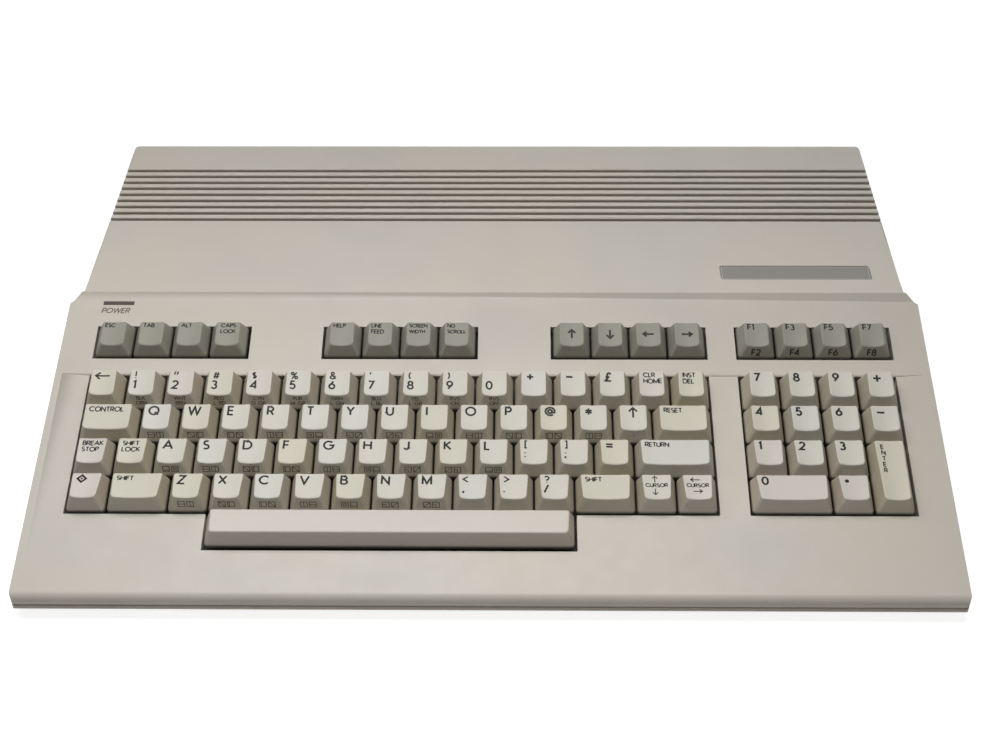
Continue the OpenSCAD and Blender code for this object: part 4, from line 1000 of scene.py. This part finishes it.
    def boxes(self, shape, index, length, front):
        """Two small framed marks on the front, each with a line or a frame of its own."""
        size, gap, width = 3.1, 1.1, 0.38
        base = length * 0.34
        insides = [[(0, 0.5), (1, 0.5)], [(0.5, 0), (0.5, 1)], [(0, 0), (1, 1)], [(0, 1), (1, 0)],
                   [(0.3, 0.3), (0.7, 0.3), (0.7, 0.7), (0.3, 0.7), (0.3, 0.3)], [(0, 0.25), (1, 0.25)],
                   [(0.25, 0), (0.25, 1)], [(0, 0.5), (0.5, 0.5), (0.5, 0)]]
        for side in (0, 1):
            corner = -size - gap / 2 if side == 0 else gap / 2
            square = [(0, 0), (1, 0), (1, 1), (0, 1), (0, 0)]
            for points in (square, insides[(index * (3 + 2 * side) + side) % len(insides)]):
                line = [(corner + x * size, base + y * size) for x, y in points]
                stroke(shape, line, width, front, FAINT_INK)


def make_keys(table, usual, context):
    """Makes each key of the table: its keycap with legends, its plungers and their pads."""
    look = context.scene.key_look
    for node, (places, marks) in table.items():
        for i, (place, mark) in enumerate(zip(places, marks)):
            tint = TINT_FINISHES.get(TINTS.get(node, "")[i:i + 1], usual)
            shape = Shape()
            key = Key(place, look.dish / MM, look.fillet / MM)
            key.body(shape)
            key.legend(shape, mark)
            settle(shape.object(f"{node}_cap_{i + 1}", [tint, *OTHER_FINISHES]), node, usual, node)


class PaleKeys(bpy.types.Operator):
    """Makes the pale keycaps of the typewriter block and the number pad, with plungers and legends"""

    bl_idname = "computer.pale_keys"
    bl_label = "Pale keys"

    def execute(self, context):
        make_keys(PALE_KEYS, "pale_keycap", context)
        return {"FINISHED"}


class GreyKeys(bpy.types.Operator):
    """Makes the grey keycaps of the four clusters, with plungers and legends"""

    bl_idname = "computer.grey_keys"
    bl_label = "Grey keys"

    def execute(self, context):
        make_keys(GREY_KEYS, "grey_keycap", context)
        return {"FINISHED"}


class Springs(bpy.types.Operator):
    """Winds a coil spring round each key's guide"""

    bl_idname = "computer.springs"
    bl_label = "Springs"

    def execute(self, context):
        for table in (PALE_KEYS, GREY_KEYS):
            for node, (places, _) in table.items():
                shape = Shape()
                for place in places:
                    key = Key(place)
                    low = FRAME_N + 0.02 + WIRE_R
                    high = min(key.front, key.back) - CAP_WALL - COIL_ROOM - WIRE_R
                    for guide in key.guides:
                        self.coil(shape, key, guide, low, high)
                spring = shape.object(f"{node}_springs", ["spring_steel"], weighted=False)
                settle(spring, ROOT, "spring_steel", "key_springs")
                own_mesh(spring)
        return {"FINISHED"}

    @staticmethod
    def coil(shape, key, guide, low, high):
        """One spring round a guide, its wire's middle running from height low to height high."""
        steps, sides = 12, 5               # of each turn, and round the wire
        rings = []
        for i in range(COIL_TURNS * steps + 1):
            turned = i / steps
            # the end turns lie flat
            rise = min(1.0, max(0.0, (turned - 0.8) / (COIL_TURNS - 1.6)))
            angle = math.tau * turned
            n = low + (high - low) * rise
            ring = []
            for j in range(sides):
                a = -math.tau * j / sides
                r = COIL_R + WIRE_R * math.cos(a)
                ring.append(key.at(guide + r * math.cos(angle), r * math.sin(angle), n + WIRE_R * math.sin(a)))
            rings.append(ring)
        shape.loft(rings)


# ---------- case ----------

SIDE_X = 205.0                       # the side walls lie further out than this
REAR_Y = 136.0                       # the slanted rear lies further back than this
TOP_Z = 59.5                         # the level top lies higher than this
TOP_Y = -1.2                         # and further back than this


def refined(node):
    """A copy of a node's mesh with its flat faces joined, as a bmesh."""
    bm = bmesh.new()
    bm.from_mesh(frame["nodes"][node].data)
    bmesh.ops.remove_doubles(bm, verts=bm.verts, dist=2e-6)
    bmesh.ops.dissolve_limit(bm, angle_limit=math.radians(0.3), verts=bm.verts, edges=bm.edges)
    bmesh.ops.recalc_face_normals(bm, faces=bm.faces)
    return bm


def round_edges(bm, chosen, radius, segments=3, clamp=True):
    """Rounds the chosen edges. Clamping keeps short ones from running into each other."""
    edges = [e for e in bm.edges if len(e.link_faces) == 2 and chosen(e)]
    bmesh.ops.bevel(bm, geom=edges, offset=radius, offset_type="OFFSET", segments=segments, profile=0.5,
                    affect="EDGES", clamp_overlap=clamp)


def finished(bm, name, material):
    """A case half's object, made from its bmesh."""
    mesh = bpy.data.meshes.new(name)
    bm.to_mesh(mesh)
    bm.free()
    for polygon in mesh.polygons:
        polygon.material_index = 0
    return mesh_object(mesh, [material], 32)


def convex(edge, least=20):
    """Whether the edge stands out and turns by more than least degrees."""
    return edge.is_convex and edge.calc_face_angle(0) > math.radians(least)


def outward(face):
    """Whether the face is part of the case's outside, seen from the side."""
    middle = face.calc_center_median()
    return abs(face.normal.z) < 0.5 and face.normal.x * middle.x + face.normal.y * middle.y > 0


def along_parting(edge, way):
    """Whether the edge is an outer one on the parting line, of a half whose rim faces up (1) or down (-1)."""
    level = all(abs(v.co.z / MM - PARTING) < 0.06 for v in edge.verts)
    return level and any(map(outward, edge.link_faces)) and any(f.normal.z * way > 0.9 for f in edge.link_faces)


class TopCase(bpy.types.Operator):
    """Rounds the edges of the top case and gives it its moulded finish"""

    bl_idname = "computer.top_case"
    bl_label = "Top case"

    def execute(self, context):
        look = context.scene.case_look
        deck_up = Vector(DECK_UP)
        bm = refined("top_case")

        def up(face):
            return face.normal.dot(deck_up) > 0.9 or face.normal.z > 0.9

        def side(face):
            return abs(face.normal.x) > 0.7 and abs(face.calc_center_median().x) / MM > SIDE_X

        def rear(face):
            return face.normal.y > 0.3 and face.calc_center_median().y / MM > REAR_Y

        def corner(edge):
            """Upright edges between the sides and the slanted rear."""
            a, b = edge.link_faces
            return convex(edge) and (side(a) and rear(b) or side(b) and rear(a)) and edge.calc_length() > 0.005

        def outer(edge):
            """Edges of the level top: along its sides and its rear."""
            on_top = all(v.co.z / MM > TOP_Z and v.co.y / MM > TOP_Y for v in edge.verts)
            return (convex(edge, 10) and on_top and any(up(f) for f in edge.link_faces)
                    and any(side(f) or rear(f) for f in edge.link_faces))

        def rib(edge):
            """Upper edges of the ribs between the cross grooves."""
            return (convex(edge) and any(up(f) for f in edge.link_faces)
                    and any(abs(f.normal.y) > 0.9 for f in edge.link_faces)
                    and all(GROOVES[0] < v.co.y / MM < GROOVES[1] and v.co.z / MM > TOP_Z for v in edge.verts))

        def well(edge):
            """Upper edges of the key openings and of the other recesses."""
            return (convex(edge, 40) and any(up(f) for f in edge.link_faces) and edge.calc_length() > 0.0005
                    and not any(side(f) or rear(f) for f in edge.link_faces) and not rib(edge))

        round_edges(bm, lambda e: along_parting(e, -1), look.parting_edge, 1, clamp=False)
        round_edges(bm, corner, look.corner_edge, 5, clamp=False)
        round_edges(bm, outer, look.outer_edge, 4, clamp=False)
        round_edges(bm, well, look.well_edge, 2)
        round_edges(bm, rib, look.groove_edge, 3, clamp=False)
        shell = finished(bm, "top_case_shell", "case_plastic")
        settle(shell, ROOT, "case_plastic", "top_case")
        return {"FINISHED"}


class BottomCase(bpy.types.Operator):
    """Rounds the edges of the bottom case and gives it its moulded finish"""

    bl_idname = "computer.bottom_case"
    bl_label = "Bottom case"

    def execute(self, context):
        look = context.scene.case_look
        bm = refined("bottom_case")
        floor = min(v.co.z for v in bm.verts)
        round_edges(bm, lambda e: along_parting(e, 1), look.parting_edge, 1, clamp=False)
        round_edges(bm, lambda e: all(v.co.z < floor + 0.00002 for v in e.verts) and self.at_rim(e)
                    and any(map(outward, e.link_faces)), look.outer_edge / 2, 3, clamp=False)
        tray = finished(bm, "bottom_case_tray", "base_plastic")
        settle(tray, ROOT, "base_plastic", "bottom_case")
        return {"FINISHED"}

    @staticmethod
    def at_rim(edge):
        """Whether the edge runs round the tray, not round a vent, a foot or a screw."""
        return all(abs(v.co.x) / MM > case_high.x - 10 or v.co.y / MM < case_low.y + 3
                   or v.co.y / MM > case_high.y - 3 for v in edge.verts)


class BadgeAndLamp(bpy.types.Operator):
    """Prints the badge plate's fine border and the word under the lamp window"""

    bl_idname = "computer.badge_and_lamp"
    bl_label = "Badge and lamp"

    def execute(self, context):
        low, high = (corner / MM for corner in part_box("badge_plate"))
        border, r, line_width = 0.8, 0.8, 0.28
        ends = [(high.x - border - r, high.y - border - r, 0), (low.x + border + r, high.y - border - r, 90),
                (low.x + border + r, low.y + border + r, 180), (high.x - border - r, low.y + border + r, 270)]
        line = [p for cx, cy, start in ends for p in arc(cx, cy, r, r, start, start + 90)]
        shape = Shape()
        stroke(shape, line + line[:1], line_width, lambda u, w, lift: Vector((u, w, high.z + lift)), 0)
        settle(shape.object("badge_border", ["pale_print"]), ROOT, "badge")

        left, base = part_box("lamp_window")[0].x / MM + 1.4, 155.6
        shape = Shape()
        write(shape, "POWER", left, base, height=2.9, width=0.56, place=on_deck, slot=0, slant=0.22)
        settle(shape.object("power_word", ["grey_ink"]), ROOT, "case_plastic")
        return {"FINISHED"}


class Ports(bpy.types.Operator):
    """Lines the round sockets with thin collars and plates the contacts on the board's edge"""

    bl_idname = "computer.ports"
    bl_label = "Ports"

    def execute(self, context):
        collars = Shape()
        low, high = (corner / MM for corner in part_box("round_sockets"))
        half = 9                         # of a socket's width
        for x in (low.x + half, high.x - half):
            self.collar(collars, x, high.y, low.z + half)
        settle(collars.object("round_socket_collars", ["plug_metal"], 50), ROOT, "plug_metal")

        contacts = Shape()
        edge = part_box("main_board")[1].y / MM
        for middle, count in CONTACT_ROWS:
            for i in range(count):
                self.contact(contacts, middle + (i - (count - 1) / 2) * CONTACT_PITCH, edge)
        settle(contacts.object("edge_contacts", ["contact_pins"]), ROOT, "plug_metal")
        return {"FINISHED"}

    @staticmethod
    def collar(shape, x, mouth, z):
        """A ring of thin sheet in the socket's groove, its rim rolled a little inwards."""
        sides = 28
        # (radius, depth) along the outside, round the rim and back along the inside
        profile = [(6.9, -6.6), (6.9, -0.35), (6.8, -0.15), (6.55, -0.1), (6.45, -0.3), (6.55, -0.5),
                   (6.6, -6.6)]
        rings = []
        for i in range(sides):
            a = math.tau * i / sides
            rings.append([(x + r * math.cos(a), mouth + d, z + r * math.sin(a)) for r, d in profile])
        shape.loft(rings, caps=False, around=True)

    @staticmethod
    def contact(shape, x, edge):
        """A plated strip on the board's upper face, with slanted ends."""
        rings = []
        for half, front, rear, z in ((1.15, 5.6, 0.5, -0.02), (1.07, 5.5, 1.0, 0.06)):
            rings.append([(x - half, edge - front, PORT_Z + z), (x + half, edge - front, PORT_Z + z),
                          (x + half, edge - rear, PORT_Z + z), (x - half, edge - rear, PORT_Z + z)])
        shape.loft(rings)


def plug_finishes():
    """Gives a function that picks the finish of a face of a nine-pin plug from its corners: 0 for the metal
    shell, 1 for the black body behind it, 2 for a pin."""
    low, high = (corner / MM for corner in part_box("nine_pin_sockets"))
    reach = 5.6                          # of the shell out of its flange
    flange = 0.99                        # a little less than its thickness
    pin_reach = 0.6                      # a little more than a pin's radius
    middle_z = PORT_Z + 6.55
    # each plug: the middle of its flange, and the ways across it and out of its mouth
    plugs = [(Vector((SCREEN_PLUG_X, high.y - reach, middle_z)), Vector((-1, 0, 0)), Vector((0, 1, 0)))] + [
        (Vector((high.x - reach, y, middle_z)), Vector((0, 1, 0)), Vector((1, 0, 0))) for y in GAME_PLUGS_Y]
    pins = [((i - (count - 1) / 2) * PIN_PITCH, row) for count, row in ((5, PIN_ROW), (4, -PIN_ROW))
            for i in range(count)]

    def pick(points):
        middle, across, out = min(plugs, key=lambda plug: (points[0] - plug[0]).length)
        placed = [((p - middle).dot(across), (p - middle).dot(out), p.z - middle.z) for p in points]
        if all(depth < -flange for _, depth, _ in placed):
            return 1
        return 2 if any(all(math.hypot(u - x, w - z) < pin_reach for u, _, w in placed) for x, z in pins) else 0

    return pick


# pieces with more than one finish: their finishes, and what gives the function that picks one
MIXED = {"nine_pin_sockets": (["plug_metal", "black_plastic", "contact_pins"], plug_finishes)}


class PlainPieces(bpy.types.Operator):
    """Gives every piece that keeps its own mesh the finish of its slot"""

    bl_idname = "computer.plain_pieces"
    bl_label = "Plain pieces"

    def execute(self, context):
        for part in frame["record"]["subparts"]:
            node = frame["nodes"][part["node"]]
            if node.hide_render:
                continue
            slots, picker = MIXED.get(part["node"], ([part["material_slot"]], None))
            pick = picker() if picker else lambda points: 0
            mesh = node.data
            mesh.materials.clear()
            for slot in slots:
                mesh.materials.append(finish(slot))
            for polygon in mesh.polygons:
                polygon.material_index = pick([mesh.vertices[i].co / MM for i in polygon.vertices])
        return {"FINISHED"}


# ---------- stage ----------


class Stage(bpy.types.Operator):
    """Sets the floor, the lamps, the surroundings and the camera"""

    bl_idname = "computer.stage"
    bl_label = "Stage"

    def execute(self, context):
        scene = context.scene
        look = scene.stage_look
        scene.view_settings.view_transform = "Standard"
        self.floor(scene, look)
        self.world(scene, look)
        # each lamp's place, the point that it faces, and its size, in metres
        self.lamp(scene, "overhead", (-0.05, -0.07, 0.75), (-0.16, -0.85, 0.06), (0.6, 0.4), look.key_power)
        self.lamp(scene, "left", (-0.75, 0.1, 0.85), (-0.2, 0, 0), (0.4, 0.4), look.side_power)
        self.lamp(scene, "behind", (0.3, 1.0, 0.22), (0, 0.16, 0.03), (0.8, 0.3), look.rear_power)
        camera = bpy.data.objects.new("camera", bpy.data.cameras.new("camera"))
        scene.collection.objects.link(camera)
        camera.location = (0.01363, -0.63484, 0.54995)
        camera.rotation_euler = [math.radians(a) for a in (49.336, 0.364, 0.616)]
        camera.data.sensor_fit = "HORIZONTAL"
        camera.data.sensor_width = 36.0
        camera.data.lens = 56.399
        camera.data.clip_start = 0.01
        scene.camera = camera
        return {"FINISHED"}

    @staticmethod
    def floor(scene, look):
        """A wide floor that looks white, and throws a plain share of the light back onto the object."""
        half = 4.0
        corners = [(-half, -half, 0), (half, -half, 0), (half, half, 0), (-half, half, 0)]
        mesh = bpy.data.meshes.new("floor")
        mesh.from_pydata(corners, [], [(0, 1, 2, 3)])
        floor = bpy.data.objects.new("floor", mesh)
        scene.collection.objects.link(floor)
        n = Nodes("floor")
        n.set(Base_Color=tuple(look.floor) + (1.0,), Roughness=0.9, Specular_IOR_Level=0.2)
        glow = n.add("ShaderNodeEmission", {"Color": (1, 1, 1, 1), "Strength": look.glow})
        shown = n.add("ShaderNodeAddShader", {0: n.shader.outputs[0], 1: glow.outputs[0]})
        dull = n.add("ShaderNodeBsdfDiffuse", {"Color": (look.bounce,) * 3 + (1.0,)})
        mix = n.add("ShaderNodeMixShader", {"Fac": n.seen(), 1: dull.outputs[0], 2: shown.outputs[0]})
        n.tree.links.new(mix.outputs[0], n.tree.nodes["Material Output"].inputs["Surface"])
        mesh.materials.append(n.material)

    @staticmethod
    def world(scene, look):
        """Even light from all around, and white where the surroundings are seen."""
        world = bpy.data.worlds.new("surroundings")
        scene.world = world
        world.use_nodes = True
        world.node_tree.nodes.clear()
        n = Tree(world.node_tree)
        ambient = n.add("ShaderNodeBackground", {"Color": (1, 1, 1, 1), "Strength": look.ambient})
        white = n.add("ShaderNodeBackground", {"Color": (1, 1, 1, 1), "Strength": 1.0})
        mix = n.add("ShaderNodeMixShader", {"Fac": n.seen(), 1: ambient.outputs[0], 2: white.outputs[0]})
        n.add("ShaderNodeOutputWorld", {"Surface": mix.outputs[0]})

    @staticmethod
    def lamp(scene, name, place, target, size, power):
        """A rectangular lamp at a place, turned to face a target."""
        data = bpy.data.lights.new(name, "AREA")
        data.shape = "RECTANGLE"
        data.size, data.size_y = size
        data.energy = power
        lamp = bpy.data.objects.new(name, data)
        scene.collection.objects.link(lamp)
        lamp.location = place
        lamp.rotation_euler = (Vector(target) - Vector(place)).to_track_quat("-Z", "Y").to_euler()


# ---------- panel and main ----------

OPERATORS = (TopCase, BottomCase, BadgeAndLamp, PaleKeys, GreyKeys, Springs, Ports, PlainPieces, Stage)


class ComputerPanel(bpy.types.Panel):
    """Lists the steps that dress the computer"""

    bl_idname = "VIEW3D_PT_computer"
    bl_label = "Home computer"
    bl_space_type = "VIEW_3D"
    bl_region_type = "UI"
    bl_category = "Computer"

    def draw(self, context):
        for operator in OPERATORS:
            self.layout.operator(operator.bl_idname)
        for look in (context.scene.case_look, context.scene.key_look, context.scene.stage_look):
            box = self.layout.box()
            for name in look.__annotations__:
                box.prop(look, name)


LOOKS = {"case_look": CaseLook, "key_look": KeyLook, "stage_look": StageLook}


def register():
    """Adds the settings, the steps and the panel."""
    for cls in (*LOOKS.values(), *OPERATORS, ComputerPanel):
        bpy.utils.register_class(cls)
    for name, cls in LOOKS.items():
        setattr(bpy.types.Scene, name, bpy.props.PointerProperty(type=cls))


def unregister():
    """Takes them away again."""
    for name in LOOKS:
        delattr(bpy.types.Scene, name)
    for cls in (ComputerPanel, *reversed(OPERATORS), *LOOKS.values()):
        bpy.utils.unregister_class(cls)


def main():
    """Dresses the computer."""
    register()
    for operator in OPERATORS:
        group, name = operator.bl_idname.split(".")
        getattr(getattr(bpy.ops, group), name)()


if __name__ == "__main__":
    main()
